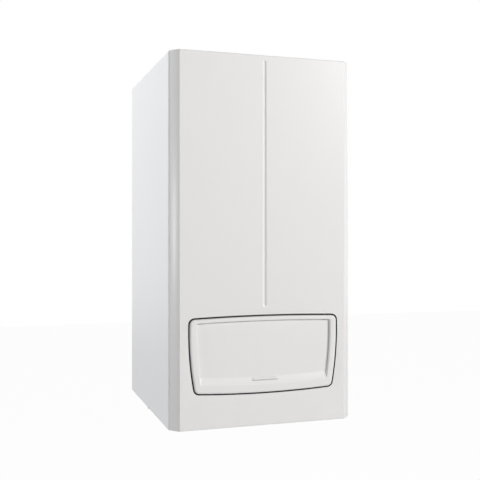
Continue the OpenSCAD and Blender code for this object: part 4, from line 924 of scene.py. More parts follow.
# Red stove enamel on the motor can: the one strong colour in the casing, half glossy.
pump_red = moulded("pump_red_paint", "#A3201C", rough=0.35, grain=1.6, depth=0.05)
softened("pump_motor", pump_red, 1.6)
CAN_RIBS = 36
piece = repeated(
    "pump_motor_ribs",
    [block((-1, -24, -1), (1, 24, 1.2))],
    pump_red,
    bevel=0.5,
    Centre=(PUMP_X, -146, PUMP_Z),
    Start=(0, 0, 46),
    Axis=INWARD,
    Turn=2 * pi / CAN_RIBS,
    Count=CAN_RIBS,
)
beside(piece, "pump_motor")
SPEED_KNOB = [(0, 0.5), (13, 0.5), (13, -5.4), (12, -6.6), (5, -6.6), (4.4, -5.8), (0, -5.8)]
BOX_Z, BOX_FRONT = 157, -181
front_parts = [
    lathe(SPEED_KNOB, (PUMP_X, -191, PUMP_Z), "y"),
    block((PUMP_X - 1.4, -199.4, PUMP_Z + 2), (PUMP_X + 1.4, -197, PUMP_Z + 11.4)),
    block((PUMP_X - 25, BOX_FRONT + 3, BOX_Z - 15), (PUMP_X + 25, -122, BOX_Z + 15)),
    block((PUMP_X - 22, BOX_FRONT, BOX_Z - 12), (PUMP_X + 22, BOX_FRONT + 4, BOX_Z + 12)),
]
beside(built("pump_terminal_box", front_parts, motor_black, bevel=1.0), "pump_motor")
marks = [(PUMP_X + sx * 18, BOX_FRONT, BOX_Z + sz * 8) for sx in (-1, 1) for sz in (-1, 1)]
box_screw = screw("y", -1, 0.75, 3)
piece = repeated(
    "pump_box_screws", [box_screw], zinc_plate, marks, Spin=SPIN, Seed=9, Facing=INWARD
)
beside(piece, "pump_motor")
softened("safety_valve", turned_brass, 0.7)
softened("drain_cock", turned_brass, 0.7)
softened("air_vent", turned_brass, 0.8)
vent = (88, -200, 690)
vent_parts = [nut(28, 8.2, 13, centre=vent)]
for z in (20, 41):
    ring_rows = [(18, z), (18.9, z + 0.6), (18.9, z + 3.4), (18, z + 4), (18, z)]
    vent_parts.append(lathe(ring_rows, vent))
beside(built("air_vent_rings", vent_parts, turned_brass), "air_vent")

# Red nylon: a brighter, shinier red than the enamel, which marks the safety valve's knob.
relief_red = moulded("relief_red_nylon", "#BF231C", rough=0.3, grain=1.5, depth=0.02)
softened("relief_knob", relief_red, 0.8)

# Blue nylon: shiny, which marks the drain cock's handle.
handle_blue = moulded("handle_blue_nylon", "#1E3F9E", rough=0.3, grain=1.5, depth=0.02)
softened("drain_handle", handle_blue, 1.0)

# Condensate trap and hose
# The trap is a moulded polypropylene cup with a ribbed screw cap, and the hose is grey EPDM with
# rings moulded every 6 mm, held at each end by a steel band.

# Trap polypropylene: milky grey-white, smooth enough to show the cap's grips.
trap_white = moulded("trap_polypropylene", "#DADDDD", rough=0.35, grain=1.6, depth=0.03)
softened("condensate_trap", trap_white, 1.0)
TRAP_X, GRIPS = -40, 40
piece = repeated(
    "condensate_trap_grips",
    [block((-0.4, -0.9, -6), (1.1, 0.9, 6))],
    trap_white,
    bevel=0.5,
    Centre=(TRAP_X, PIPE_Y, 155),
    Start=(37, 0, 0),
    Turn=2 * pi / GRIPS,
    Count=GRIPS,
)
beside(piece, "condensate_trap")

# Hose rubber: matt mid grey, shaded by its own rings.
hose_grey = moulded("hose_epdm", "#8A8C8E", rough=0.6, grain=1.2, depth=0.05)
dress(hose_grey, "condensate_hose")
HOSE_RING = [(11.6, -2.4), (12.6, -1.9), (13.6, -0.8), (13.8, 0), (13.6, 0.8), (12.6, 1.9)]
HOSE_RING += [(11.6, 2.4), (11.6, -2.4)]
hose_row = {"Centre": (TRAP_X, PIPE_Y, 196), "Step": (0, 0, 6), "Count": 37}
hose_ring = lathe(HOSE_RING, (0, 0, 0), count=32)
piece = repeated("condensate_hose_rings", [hose_ring], hose_grey, **hose_row)
beside(piece, "condensate_hose")
BAND = [(12, -3.5), (12.9, -3.5), (12.9, 3.5), (12, 3.5), (12, -3.5)]
bands = []
for z in (184, 424):
    bands.append(lathe(BAND, (TRAP_X, PIPE_Y, z)))
    bands.append(
        block((TRAP_X - 2.5, PIPE_Y - 16, z - 3), (TRAP_X + 2.5, PIPE_Y - 11.5, z + 3))
    )
beside(built("condensate_hose_bands", bands, zinc_plate, bevel=0.3), "condensate_hose")

# Pipe connectors and cable gland
# Brass unions pass the bottom panel, each between two hexagons, and end in a cut thread. The gland
# is grey nylon with a domed clamping nut; it is open, since the photograph shows no cord.
softened("pipe_connectors", turned_brass, 0.5)
FLOW_X, PITCH = -175, 1.81
unions = []
threads = []
for x, radius, across in ((FLOW_X, 16.6, 38), (PUMP_X, 16.6, 38), (VALVE_X, 13.2, 32)):
    unions += [
        nut(across, 8.4, radius - 0.4, "z", -1, (x, PIPE_Y, 0)),
        nut(across, 12.2, radius - 0.4, "z", 1, (x, PIPE_Y, SHEET)),
    ]
    rows = [(radius - 1, -35.6)]
    for k in range(14):
        z = -35.4 + PITCH * k
        rows += [(radius - 0.05, z), (radius + 0.5, z + 0.8), (radius + 0.5, z + 1.0)]
    rows.append((radius - 1, -9.6))
    threads.append(lathe(rows, (x, PIPE_Y, 0)))
beside(built("connector_hexagons", unions, turned_brass), "pipe_connectors")
beside(built("connector_threads", threads, turned_brass, sharp=80), "pipe_connectors")

# Gland nylon: dark grey with a dull shine on its edges.
gland_grey = moulded("gland_nylon", "#4B4D50", rough=0.45, grain=1.2, depth=0.03)
softened("cable_gland", gland_grey, 0.6)
GLAND_X, GLAND_Y = 20, -245
DOME = [(10.2, -13.4), (9.7, -15.2), (8.2, -16.8), (6.4, -17.8), (4.6, -18.2), (4, -17.6)]
DOME += [(4, -13.4), (10.2, -13.4)]
gland_shapes = [
    nut(21.4, 11.6, 4, "z", -1, (GLAND_X, GLAND_Y, -2)),
    lathe(DOME, (GLAND_X, GLAND_Y, 0)),
    nut(21.4, 5.2, 8, "z", 1, (GLAND_X, GLAND_Y, SHEET)),
]
beside(built("cable_gland_nuts", gland_shapes, gland_grey), "cable_gland")

# Control box, board and terminal block
# A dark polycarbonate box behind the cover's opening holds a printed board with relays, a
# transformer and the encoders, and a green terminal block for the mains and the room thermostat.

# Box polycarbonate: charcoal with a fine grain, dark behind the fascia's light grey.
box_grey = moulded("box_polycarbonate", "#404346", rough=0.5, grain=1.1, depth=0.05)
softened("control_box", box_grey, 1.2)
fascia_low, fascia_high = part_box("fascia")
dash_y, box_y = fascia_low.y * 1000, fascia_high.y * 1000
box_low, box_high = (v * 1000 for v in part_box("control_box"))
box_foot, box_head = box_low.z - bottom, box_high.z - bottom
piece = repeated(
    "control_box_ribs",
    [block((-1, -32, -0.5), (1, 32, 1.8))],
    box_grey,
    bevel=0.5,
    Centre=(-140, (box_y + box_high.y) / 2, box_head),
    Step=(14, 0, 0),
    Count=21,
)
beside(piece, "control_box")

# Solder mask: glossy green with lighter, slightly raised tracks.
solder_green, tree, shader, place = finish("solder_mask_green", Roughness=0.3, IOR=1.5)
trace = put(
    tree,
    "ShaderNodeTexVoronoi",
    {"Vector": place, "Scale": 1000 / 5.5, "Randomness": 0.55},
    distance="MANHATTAN",
    feature="DISTANCE_TO_EDGE",
)
lane = put(
    tree, "ShaderNodeMapRange", {0: trace.outputs["Distance"], 1: 0.05, 2: 0.09, 3: 1.0, 4: 0.0}
).outputs[0]
put(
    tree,
    "ShaderNodeMix",
    {0: lane, 6: linear("#12582F"), 7: linear("#2C7A49")},
    {2: shader.inputs["Base Color"]},
    data_type="RGBA",
)
put(
    tree,
    "ShaderNodeBump",
    {"Height": lane, "Distance": 0.00008, "Strength": 0.8},
    {"Normal": shader.inputs["Normal"]},
)
ROW_Z, GAUGE_X, SELECTOR_X, HEATING_X, WATER_X = 172, -128, -74, 74, 128
BUTTON_X, BUTTON_Z = 22, 139
BOARD_Y, BOARD, BOARD_IN, WELL = -445, 1.6, 6, 24
board_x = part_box("control_board")[1].x * 1000
board_foot, board_head = box_foot + BOARD_IN, box_head - BOARD_IN
board_rim = [
    (side * board_x, BOARD_Y, z)
    for side, z in ((-1, board_foot), (1, board_foot), (1, board_head), (-1, board_head))
]
well = [
    (GAUGE_X + WELL * cos(a * pi / 24), BOARD_Y, ROW_Z + WELL * sin(a * pi / 24))
    for a in range(48)
]


def flat_with_holes(rim, *holes):
    """A flat face inside a rim, with holes"""
    form = bmesh.new()
    for loop in (rim, *holes):
        corners = [form.verts.new(p) for p in loop]
        for a, b in zip(corners, corners[1:] + corners[:1]):
            form.edges.new((a, b))
    bmesh.ops.triangle_fill(form, use_beauty=True, edges=form.edges)
    form.verts.index_update()
    shape = [tuple(v.co) for v in form.verts], [[v.index for v in f.verts] for f in form.faces]
    form.free()
    return shape


board = built("board_plate", [flat_with_holes(board_rim, well)], solder_green, wall=BOARD)
seat(board, "control_board")

# Relay cases are smooth dark blue, the other components black, and the winding is lacquered copper
# wire: small bright and dark blocks that make the board read as one.
relay_blue = moulded("relay_case", "#243B66", rough=0.35, grain=1.5, depth=0.01)
part_black = moulded("component_black", "#1F2022", rough=0.4, grain=1.0, depth=0.02)
winding = metal(
    "enamelled_winding", "#8C5A2E", "#B07A44", 0.35, cloud=12, lines=(1, 1, 8), pitch=0.7
)
back_y = BOARD_Y + BOARD
SUNK = 0.2
relays = []
for x in (-120, -94, -68, -42):
    low, high = (x, back_y - SUNK, box_head - 40), (x + 20, back_y + 16, box_head - 14)
    relays.append(block(low, high))
beside(built("board_relays", relays, relay_blue, bevel=0.6), "control_board")
# The transformer's iron core goes round the winding, with a foot on the board.
CORE = ((60, 116, 58, 46), (60, 116, 26, 14), (60, 70, 46, 26), (106, 116, 46, 26))
core = [
    block((x0, back_y + 4, box_head - z0), (x1, back_y + 30, box_head - z1))
    for x0, x1, z0, z1 in CORE
]
core.append(block((76, back_y - SUNK, box_head - 54), (100, back_y + 4.2, box_head - 18)))
beside(built("transformer_core", core, part_black, bevel=0.6), "control_board")
coil = block((71.5, back_y + 3, box_head - 45), (104.5, back_y + 34, box_head - 27))
beside(built("transformer_winding", [coil], winding, bevel=3), "control_board")
# Four walls round each encoder's shaft, a switch behind each button, chips and capacitors.
small = []
SHAFT_GAP, ENCODER = 4.2, 8
encoder_walls = (
    (-ENCODER, -ENCODER, -SHAFT_GAP, ENCODER),
    (SHAFT_GAP, -ENCODER, ENCODER, ENCODER),
    (-SHAFT_GAP, -ENCODER, SHAFT_GAP, -SHAFT_GAP),
    (-SHAFT_GAP, SHAFT_GAP, SHAFT_GAP, ENCODER),
)
for x in (SELECTOR_X, HEATING_X, WATER_X):
    for x0, z0, x1, z1 in encoder_walls:
        low, high = (x + x0, BOARD_Y - 10, ROW_Z + z0), (x + x1, BOARD_Y + 0.1, ROW_Z + z1)
        small.append(block(low, high))
for x in (-BUTTON_X, BUTTON_X):
    small.append(block((x - 4, BOARD_Y - 8, BUTTON_Z - 4), (x + 4, BOARD_Y + 0.1, BUTTON_Z + 4)))
small += [block((x, back_y - SUNK, 96), (x + 8, back_y + 3, 112)) for x in range(-10, 39, 12)]
CAPACITOR = [(0, -SUNK), (5, -SUNK), (5, 14), (4.4, 15), (0, 15)]
small += [lathe(CAPACITOR, (x, back_y, 104), "y", 24) for x in (-60, -46, -32)]
beside(built("board_components", small, part_black, bevel=0.4), "control_board")

# Terminal polyamide: a brighter, matter green than the board.
terminal_green = moulded("terminal_polyamide", "#247A3A", rough=0.42, grain=1.2, depth=0.02)
softened("terminal_block", terminal_green, 0.5)
terminal_low, terminal_high = (v * 1000 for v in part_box("terminal_block"))
piece = repeated(
    "terminal_screws",
    [screw(size=0.72, shank=3)],
    zinc_plate,
    Centre=(-51, (terminal_low.y + terminal_high.y) / 2, terminal_high.z - bottom - 1.2),
    Step=(12, 0, 0),
    Count=9,
    Spin=SPIN,
)
beside(piece, "terminal_block")

# Fascia, display and gauge
# The fascia is light grey ABS with printed scales. Behind its window lies a liquid-crystal display
# under a clear lens, and the gauge has a white printed dial with a red needle under its own lens.

# Fascia ABS: a light neutral grey, matt, darker than the cover so the opening reads at once.
fascia_grey = moulded("fascia_abs", "#C3C5C6", rough=0.45, grain=1.0, depth=0.03)
softened("fascia", fascia_grey, 0.7)

# Printed ink: charcoal, flat, with no visible thickness.
ink = moulded("printed_ink", "#3C4043", rough=0.5, grain=2.0, depth=0.005)


def sticks(name, places, y, thick, material, node):
    """Flat prints or bars, each with its middle, size and clock angle in front view"""
    shapes = []
    for x, z, wide, tall, angle in places:
        across = Vector((cos(angle), -sin(angle)))
        up = Vector((sin(angle), cos(angle)))
        corners = [
            Vector((x, z)) + across * sx * wide / 2 + up * sz * tall / 2
            for sx, sz in ((-1, -1), (1, -1), (1, 1), (-1, 1))
        ]
        shapes.append(loft([[(p.x, d, p.y) for p in corners] for d in (y, y - thick)], caps=True))
    return beside(built(name, shapes, material), node)


for name, x, count, turn in (
    ("scale_ticks_mode", SELECTOR_X, 4, 40),
    ("scale_ticks_heating", HEATING_X, 11, 27),
    ("scale_ticks_water", WATER_X, 11, 27),
):
    piece = repeated(
        name,
        [block((-0.4, -0.12, -1.8), (0.4, 0.05, 1.8))],
        ink,
        Centre=(x, dash_y, ROW_Z),
        Start=(0, 0, 24.4),
        Axis=INWARD,
        Turn=radians(turn),
        Count=count,
    )
    beside(piece, "fascia")
# Generic signs over the knobs and under the buttons, put together from short bars.
SIGN_Z, PRINT = 212, 0.12
radiator = [(HEATING_X + 3.2 * k, SIGN_Z, 2.0, 12, 0) for k in range(-2, 3)]
radiator += [(HEATING_X, SIGN_Z + rise, 16, 1.0, 0) for rise in (-3.6, 3.6)]
sticks("radiator_sign", radiator, dash_y, PRINT, ink, "fascia")
SPOUT_X = WATER_X + 6.4
tap = [
    (x, SIGN_Z + rise, wide, tall, 0)
    for x, rise, wide, tall in (
        (WATER_X, 2, 13, 2.6),
        (SPOUT_X, -0.6, 2.6, 6),
        (WATER_X, 5, 2.4, 5),
        (WATER_X, 7.4, 9, 1.6),
        (SPOUT_X, -6.6, 1.6, 3.4),
    )
]
sticks("tap_sign", tap, dash_y, PRINT, ink, "fascia")
power = [
    (SELECTOR_X + 5 * sin(radians(a)), SIGN_Z + 5 * cos(radians(a)), 1.9, 1.2, radians(a))
    for a in range(40, 321, 14)
]
power.append((SELECTOR_X, SIGN_Z + 4, 1.3, 6.5, 0))
sticks("power_sign", power, dash_y, PRINT, ink, "fascia")
signs = [(-BUTTON_X, 127.5, 6, 1.1, 0), (-BUTTON_X, 127.5, 1.1, 6, radians(45))]
signs += [(BUTTON_X, 126.4, 1.3, 4.6, 0), (BUTTON_X, 130.6, 1.3, 1.3, 0)]
sticks("button_signs", signs, dash_y, PRINT, ink, "fascia")

# Display housing: dark green-grey plastic, which frames the glass.
display_dark = moulded("display_housing", "#2A3326", rough=0.4, grain=1.5, depth=0.01)
dress(display_dark, "display_module")

# Liquid-crystal glass: pale grey-green and cloudy, unlit, with its segments barely darker.
crystal_grey, tree, shader, place = finish("liquid_crystal_glass", Roughness=0.22, IOR=1.5)
mesh_grain = put(tree, "ShaderNodeTexNoise", {"Vector": place, "Scale": 1000 / 14, "Detail": 2.0})
put(
    tree,
    "ShaderNodeMix",
    {0: mesh_grain.outputs[0], 6: linear("#8C9683"), 7: linear("#98A28E")},
    {2: shader.inputs["Base Color"]},
    data_type="RGBA",
)
SCREEN_W, SCREEN_H = 76, 32
screen_y = box_y - 0.35
screen = block(
    (-SCREEN_W / 2, screen_y, ROW_Z - SCREEN_H / 2),
    (SCREEN_W / 2, box_y + 0.1, ROW_Z + SCREEN_H / 2),
)
beside(built("display_glass", [screen], crystal_grey, bevel=0.1), "display_module")
# Two figures of seven segments, a level scale at the left and a degree sign at the right.
bars = []
for x in (-9, 9):
    bars += [(x, ROW_Z + rise, 7.4, 1.7, 0) for rise in (7.5, 0, -7.5)]
    bars += [(x + sx * 4.9, ROW_Z + sz * 3.8, 1.7, 5.8, 0) for sx in (-1, 1) for sz in (-1, 1)]
bars += [(-30, ROW_Z + rise, 8, 1.8, 0) for rise in (-8, -4, 0, 4, 8)]
bars += [(30, ROW_Z + rise, 7, 1.4, 0) for rise in (6, 0)]
bars += [(30 + side * 3.4, ROW_Z + 3, 1.4, 5, 0) for side in (-1, 1)]
segment_ink = moulded("display_segments", "#565E50", rough=0.3, grain=2.0, depth=0.005)
sticks("display_segments", bars, screen_y, 0.06, segment_ink, "display_module")

# Clear acrylic: a glassy front over the display and the gauge, which shows only its reflections.
clear_lens, tree, shader, place = finish(
    "clear_acrylic", Base_Color=linear("#F4F7F7"), IOR=1.49, Transmission_Weight=1.0
)
haze = put(tree, "ShaderNodeTexNoise", {"Vector": place, "Scale": 1000 / 20, "Detail": 2.0})
put(
    tree,
    "ShaderNodeMapRange",
    {0: haze.outputs[0], 3: 0.02, 4: 0.06},
    {0: shader.inputs["Roughness"]},
)
softened("display_lens", clear_lens, 0.3)
softened("gauge_lens", clear_lens, 0.4)

# Gauge bezel: glossy black ABS, a shiny ring round the dial.
gloss_black = moulded("gauge_bezel_abs", "#141415", rough=0.22, grain=2.0, depth=0.005)
softened("gauge_case", gloss_black, 0.8)

# Dial enamel: warm white, even, behind dark ticks.
dial_paint = moulded("printed_dial", "#F0F0EC", rough=0.45, grain=1.5, depth=0.005)
dress(dial_paint, "gauge_dial")
dial_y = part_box("gauge_dial")[0].y * 1000
DIAL_SWEEP, TICK_R, DIGIT_R, DIGIT_HIGH = 270, 18.2, 12.2, 4.8
for name, length, width, steps in (
    ("gauge_ticks_main", 3.2, 0.7, 4),
    ("gauge_ticks_fine", 1.7, 0.35, 20),
):
    piece = repeated(
        name,
        [block((-width / 2, -0.08, -length / 2), (width / 2, 0.04, length / 2))],
        ink,
        Centre=(GAUGE_X, dial_y, ROW_Z),
        Start=(0, 0, TICK_R - length / 2),
        Axis=INWARD,
        Turn=radians(DIAL_SWEEP / steps),
        Phase=radians(-DIAL_SWEEP / 2),
        Count=steps + 1,
    )
    beside(piece, "gauge_dial")
for value in range(5):
    text = bpy.data.curves.new("gauge_digit", "FONT")
    text.body = str(value)
    text.size = DIGIT_HIGH / 1000
    text.align_x, text.align_y = "CENTER", "CENTER"
    text.extrude = 0.00005
    written = bpy.data.objects.new("gauge_digit", text)
    bpy.context.scene.collection.objects.link(written)
    digit = bpy.data.meshes.new_from_object(
        written.evaluated_get(bpy.context.evaluated_depsgraph_get())
    )
    bpy.data.objects.remove(written)
    a = radians(DIAL_SWEEP * (value / 4 - 0.5))
    x, z = GAUGE_X + DIGIT_R * sin(a), ROW_Z + DIGIT_R * cos(a)
    spot = Vector((x, dial_y - 0.05, z + bottom)) / 1000
    digit.transform(Matrix.Translation(spot) @ Matrix.Rotation(pi / 2, 4, "X"))
    digit.materials.clear()
    digit.materials.append(ink)
    digit.name = "gauge_digit_" + str(value)
    piece = bpy.data.objects.new(digit.name, digit)
    bpy.context.scene.collection.objects.link(piece)
    beside(piece, "gauge_dial")

# Needle lacquer: clear red, seen against the white dial.
needle_red = moulded("needle_lacquer", "#C4241B", rough=0.3, grain=2.0, depth=0.005)
dress(needle_red, "gauge_needle")

# Knobs and buttons
# Moulded nylon knobs with a grip bar, a ribbed skirt and a white line filled into the pointer's
# slot, pushed on the encoder shafts, and two sprung buttons with dished tops.

# Knob nylon: blue-grey with a fine grain that keeps it matt under the fingers.
knob_grey = moulded("knob_nylon", "#565C63", rough=0.45, grain=0.9, depth=0.03)
knob_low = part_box("selector_knob")[0].y * 1000
knob_back = dash_y - 0.3

# Pointer paint: plain white, filled into the slot.
pointer_white = moulded("pointer_paint", "#F1F1EF", rough=0.4, grain=1.5, depth=0.005)
KNOB_RIBS = 48
knobs = {"selector_knob": SELECTOR_X, "heating_knob": HEATING_X, "hot_water_knob": WATER_X}
for node, x in knobs.items():
    softened(node, knob_grey, 0.6)
    piece = repeated(
        node + "_ribs",
        [block((-0.55, -3.1, -0.5), (0.55, 3.1, 0.45))],
        knob_grey,
        bevel=0.3,
        Centre=(x, knob_back - 3.7, ROW_Z),
        Start=(0, 0, 20),
        Axis=INWARD,
        Turn=2 * pi / KNOB_RIBS,
        Count=KNOB_RIBS,
    )
    beside(piece, node)
    pointer = [(x, ROW_Z + 10.5, 1.5, 12.6, 0)]
    sticks(node + "_pointer", pointer, knob_low + 0.75, 0.6, pointer_white, node)

# Button nylon: a deep red that tells the reset button from the grey one.
button_red = moulded("button_red_nylon", "#B0221B", rough=0.35, grain=1.2, depth=0.02)
BUTTON_RING = [(3.6, 0.2), (4.6, 0.2), (4.6, -0.25), (4.2, -0.45), (3.9, -0.3), (3.6, 0.2)]
for node, side, material in (("reset_button", -1, button_red), ("info_button", 1, knob_grey)):
    softened(node, material, 0.9)
    face_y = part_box(node)[0].y * 1000
    ring = lathe(BUTTON_RING, (side * BUTTON_X, face_y, BUTTON_Z), "y", 40)
    beside(built(node + "_ring", [ring], material), node)

# Front cover
# One 1.2 mm steel pressing with folded sides, a chamfer down each side and a pressed groove that
# widens towards the flap. Powder coated in a slightly warmer white than the casing.

# Warm white powder coat, a little glossier than the casing's, so the chamfer takes a bright band.
cover_white = powder_coat("cover_powder_coat", ("#E9E8E6", "#EBEAE8"), 0.5, 0.65)
cover_low, cover_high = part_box("front_cover")
SEAM, COVER_FLANGE = 1.9, 15
front, back_edge = cover_low.y * 1000, cover_high.y * 1000 - SEAM
half, height = cover_high.x * 1000, (cover_high.z - cover_low.z) * 1000
CHAMFER_W, CHAMFER_D = 20, 21
FOLD, EDGE, CROWN, CREASE, CREASE_IN = 3.0, 1.2, 0.28, 1.1, 1.3
flap_low, flap_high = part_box("control_flap")
flap_foot, flap_head = flap_low.z * 1000 - bottom, flap_high.z * 1000 - bottom
flap_half = flap_high.x * 1000
SIDE_BOW, HEAD_BOW, FOOT_BOW = 720, 4450, 2500
WIDEST_Z, MIDDLE_Z = flap_foot + 141, flap_foot + 90


def shield(side, head, foot, corner):
    """The flap's outline drawn in by three widths: four bowed sides and rounded corners"""
    along, round_corner = 22, 8
    arcs = [
        (Vector((flap_half - SIDE_BOW, WIDEST_Z)), SIDE_BOW - side),
        (Vector((0, flap_head - HEAD_BOW)), HEAD_BOW - head),
        (Vector((SIDE_BOW - flap_half, WIDEST_Z)), SIDE_BOW - side),
        (Vector((0, flap_foot + FOOT_BOW)), FOOT_BOW - foot),
    ]
    hubs = []
    for (a, ra), (b, rb) in zip(arcs, arcs[1:] + arcs[:1]):
        ra, rb = ra - corner, rb - corner
        gap = (b - a).length
        run = (ra * ra - rb * rb + gap * gap) / (2 * gap)
        rise = sqrt(max(ra * ra - run * run, 0))
        way = (b - a) / gap
        pair = [a + way * run + Vector((-way.y, way.x)) * s * rise for s in (1, -1)]
        hubs.append(min(pair, key=lambda p: (p - Vector((0, MIDDLE_Z))).length))
    loop = []
    for i, (centre, radius) in enumerate(arcs):
        before, after = hubs[i - 1] - centre, hubs[i] - centre
        start, end = atan2(before.y, before.x), atan2(after.y, after.x)
        if end < start:
            end += 2 * pi
        for k in range(along):
            angle = start + (end - start) * k / along
            loop.append(centre + Vector((cos(angle), sin(angle))) * radius)
        following = hubs[i] - arcs[(i + 1) % 4][0]
        start, end = end, atan2(following.y, following.x)
        while end < start:
            end += 2 * pi
        for k in range(round_corner):
            angle = start + (end - start) * k / round_corner
            loop.append(hubs[i] + Vector((cos(angle), sin(angle))) * corner)
    return loop


def frame_loop(width, inset, y):
    """A rectangle in front view with slightly rounded corners"""
    radius, steps = 1.6, 4
    loop = []
    for sx, sz, start in ((1, 1, 0), (-1, 1, 90), (-1, -1, 180), (1, -1, 270)):
        cx = sx * (width - radius)
        cz = height / 2 + sz * (height / 2 - inset - radius)
        for i in range(steps + 1):
            angle = radians(start + 90 * i / steps)
            loop.append((cx + radius * cos(angle), y, cz + radius * sin(angle)))
    return loop


crest_back, crest_front = Vector((half, front + CHAMFER_D)), Vector((half - CHAMFER_W, front))
along = (crest_front - crest_back).normalized()
outward = Vector((-along.y, along.x))
plan = rounded_path(
    [
        (half - COVER_FLANGE, back_edge),
        (half, back_edge),
        crest_back,
        crest_back + along * CREASE_IN - outward * CREASE,
        (crest_back + crest_front) / 2 + outward * CROWN,
        crest_front - along * CREASE_IN - outward * CREASE,
        crest_front,
        (half - 2 * CHAMFER_W, front),
    ],
    [EDGE, 0.7, 0.7, 90, 0.7, 1.0],
)
cover_loops = []
for x, y in plan[:-1]:
    near_front, near_back = FOLD - (y - front), EDGE - (back_edge - y)
    inset = 0
    if near_front > 0:
        inset = FOLD - sqrt(max(FOLD**2 - near_front**2, 0))
    elif near_back > 0 and x < half:
        inset = half - x
    cover_loops.append(frame_loop(x, inset, y))
GROOVE_FOOT, GROOVE_HEAD = flap_head + 20, height - 12
GROOVE_W, GROOVE_TOP_W, GROOVE_DEPTH = 12, 8.5, 2.6
FOOT_ROUND, HEAD_ROUND = 6, 3


def rounded_groove(step, depth):
    """One loop of the groove, from its rim in to its bottom line"""
    rows = [0, 0.6, 1.8, 3.6, 6, 9] + [14 + 24 * i for i in range(23)]
    length = GROOVE_HEAD - GROOVE_FOOT
    rows = [r for r in rows if r < length - 8] + [length - 5, length - 2.5, length - 1, length]
    right = []
    for r in rows:
        share = r / length
        width = (GROOVE_W + (GROOVE_TOP_W - GROOVE_W) * share) / 2
        for end, reach in ((r, FOOT_ROUND), (length - r, HEAD_ROUND)):
            width *= sqrt(max(0, 1 - max(0, 1 - end / reach) ** 2))
        z = GROOVE_FOOT + r
        middle = min(max(z, GROOVE_FOOT + FOOT_ROUND), GROOVE_HEAD - HEAD_ROUND)
        right.append((width * (1 - step), z + (middle - z) * step))
    loop = right + [(-x, z) for x, z in reversed(right[1:-1])]
    return [(x, front + GROOVE_DEPTH * depth, z) for x, z in loop]


PRESSED = ((0, 0), (0.12, 0.05), (0.3, 0.22), (0.6, 0.58), (0.84, 0.87), (0.94, 0.97), (1, 1))
groove_loops = [rounded_groove(step, depth) for step, depth in PRESSED]
opening = [(p.x, front, p.y) for p in shield(side=-2.9, head=-2.8, foot=-2.4, corner=14.5)]


def joined(*shapes):
    """Shapes that are welded where their points meet"""
    points, faces = [], []
    for more, quads in shapes:
        faces += [[i + len(points) for i in quad] for quad in quads]
        points += more
    return points, faces


face = flat_with_holes(cover_loops[-1], opening, groove_loops[0])
cover = built(
    "front_cover_pressing",
    [joined(loft(cover_loops), face, loft(groove_loops))],
    cover_white,
    wall=SHEET,
    sharp=50,
)
# The foot's flange is notched for the two tabs of the bottom panel and for their screws.
notches = []
for x in (-COVER_SCREW_X, COVER_SCREW_X):
    for wide, deep, foot, head in ((13, 2.4, SHEET, 5.2), (2.9, 15, -1, 2.2)):
        notches.append(block((x - wide, back_edge - deep, foot), (x + wide, back_edge + 1, head)))


def cut(piece, cutter):
    """The piece with the cutter's form taken away, as a plain mesh"""
    hole = piece.modifiers.new("hole", "BOOLEAN")
    hole.object, hole.solver, hole.use_self = cutter, "EXACT", True
    piece.modifiers.move(len(piece.modifiers) - 1, len(piece.modifiers) - 2)
    graph = bpy.context.evaluated_depsgraph_get()
    mesh = bpy.data.meshes.new_from_object(piece.evaluated_get(graph))
    piece.modifiers.clear()
    piece.data = mesh
    bpy.data.objects.remove(cutter)


cut(cover, built("cover_notches", notches, cover_white))
seat(cover, "front_cover")

# Flap's frame, cover seal and studs
# The frame is a dark ABS moulding clipped into the cover's opening: its front edge is the thin
# dark line round the flap, and its near-black colour is partly painted shade for the gap there.
# The seal is black foam strip, and the studs are turned steel.

# Black ABS, matt, its near-black also painted shade, so the gap round the flap stays dark in any
# light.
frame_black_and_gap_shade = moulded("frame_dark_abs", "#131315", rough=0.6)
dress(frame_black_and_gap_shade, "flap_frame")

# Closed-cell foam: very matt, with fine cells.
seal_foam, tree, shader, place = finish("seal_foam", Base_Color=linear("#232323"), Roughness=0.9)
cell = put(tree, "ShaderNodeTexVoronoi", {"Vector": place, "Scale": 1000 / 1.1})
put(
    tree,
    "ShaderNodeBump",
    {"Height": cell.outputs["Distance"], "Distance": 0.0003, "Strength": 0.8},
    {"Normal": shader.inputs["Normal"]},
)
dress(seal_foam, "cover_seal")

# Turned steel: bright, with fine tool marks that vary its gloss.
turned_steel, tree, shader, place = finish(
    "turned_steel", Base_Color=linear("#A9AAAB"), Metallic=1.0, Roughness=0.28
)
tool = put(tree, "ShaderNodeTexNoise", {"Vector": place, "Scale": 1000 / 0.8, "Detail": 1.0})
put(
    tree,
    "ShaderNodeMapRange",
    {0: tool.outputs[0], 3: 0.2, 4: 0.4},
    {0: shader.inputs["Roughness"]},
)
dress(turned_steel, "cover_studs", "flap_pins", "pump_rotor")

# Control flap
# A white ABS moulding, 2.2 mm thick: a skirt, a raised rim with a soft outer edge, a steep wall
# with a thin groove at its foot, a flat dish that slopes back to the rim below, and a finger lip
# over a slot. It hangs on two pairs of cheeks and steel pins.

# White ABS: a matter, slightly cooler white than the cover, its grain too fine to see from afar.
flap_white = moulded("flap_white_abs", "#ECEBEA", rough=0.4, grain=1.1, depth=0.02)
PROUD, DISH, CURVE = 3.9, 6.4, 0.7
RIM, RIM_FOOT, FOOT_RUN = 15.0, 18.8, 17
GROOVE, GROOVE_IN, GROOVE_WIDE, GROOVE_START, GROOVE_FADE = 1.8, 1.4, 1.3, 36, 22
SIDE_GAP, SKIRT, ROUND, ROUND_START = 0.5, 6, 4.6, 0.9
WALL = 2.2
floor_y = front - PROUD + DISH
flap_rows = [(SIDE_GAP, 0, front + SKIRT), (SIDE_GAP, 0, front + ROUND_START)]
for a in (12, 25, 38, 50, 62, 74, 84, 90):
    turn_in = ROUND * (1 - cos(radians(a)))
    rise = (PROUD + ROUND_START) * sin(radians(a))
    flap_rows.append((SIDE_GAP + turn_in, turn_in, front + ROUND_START - rise))
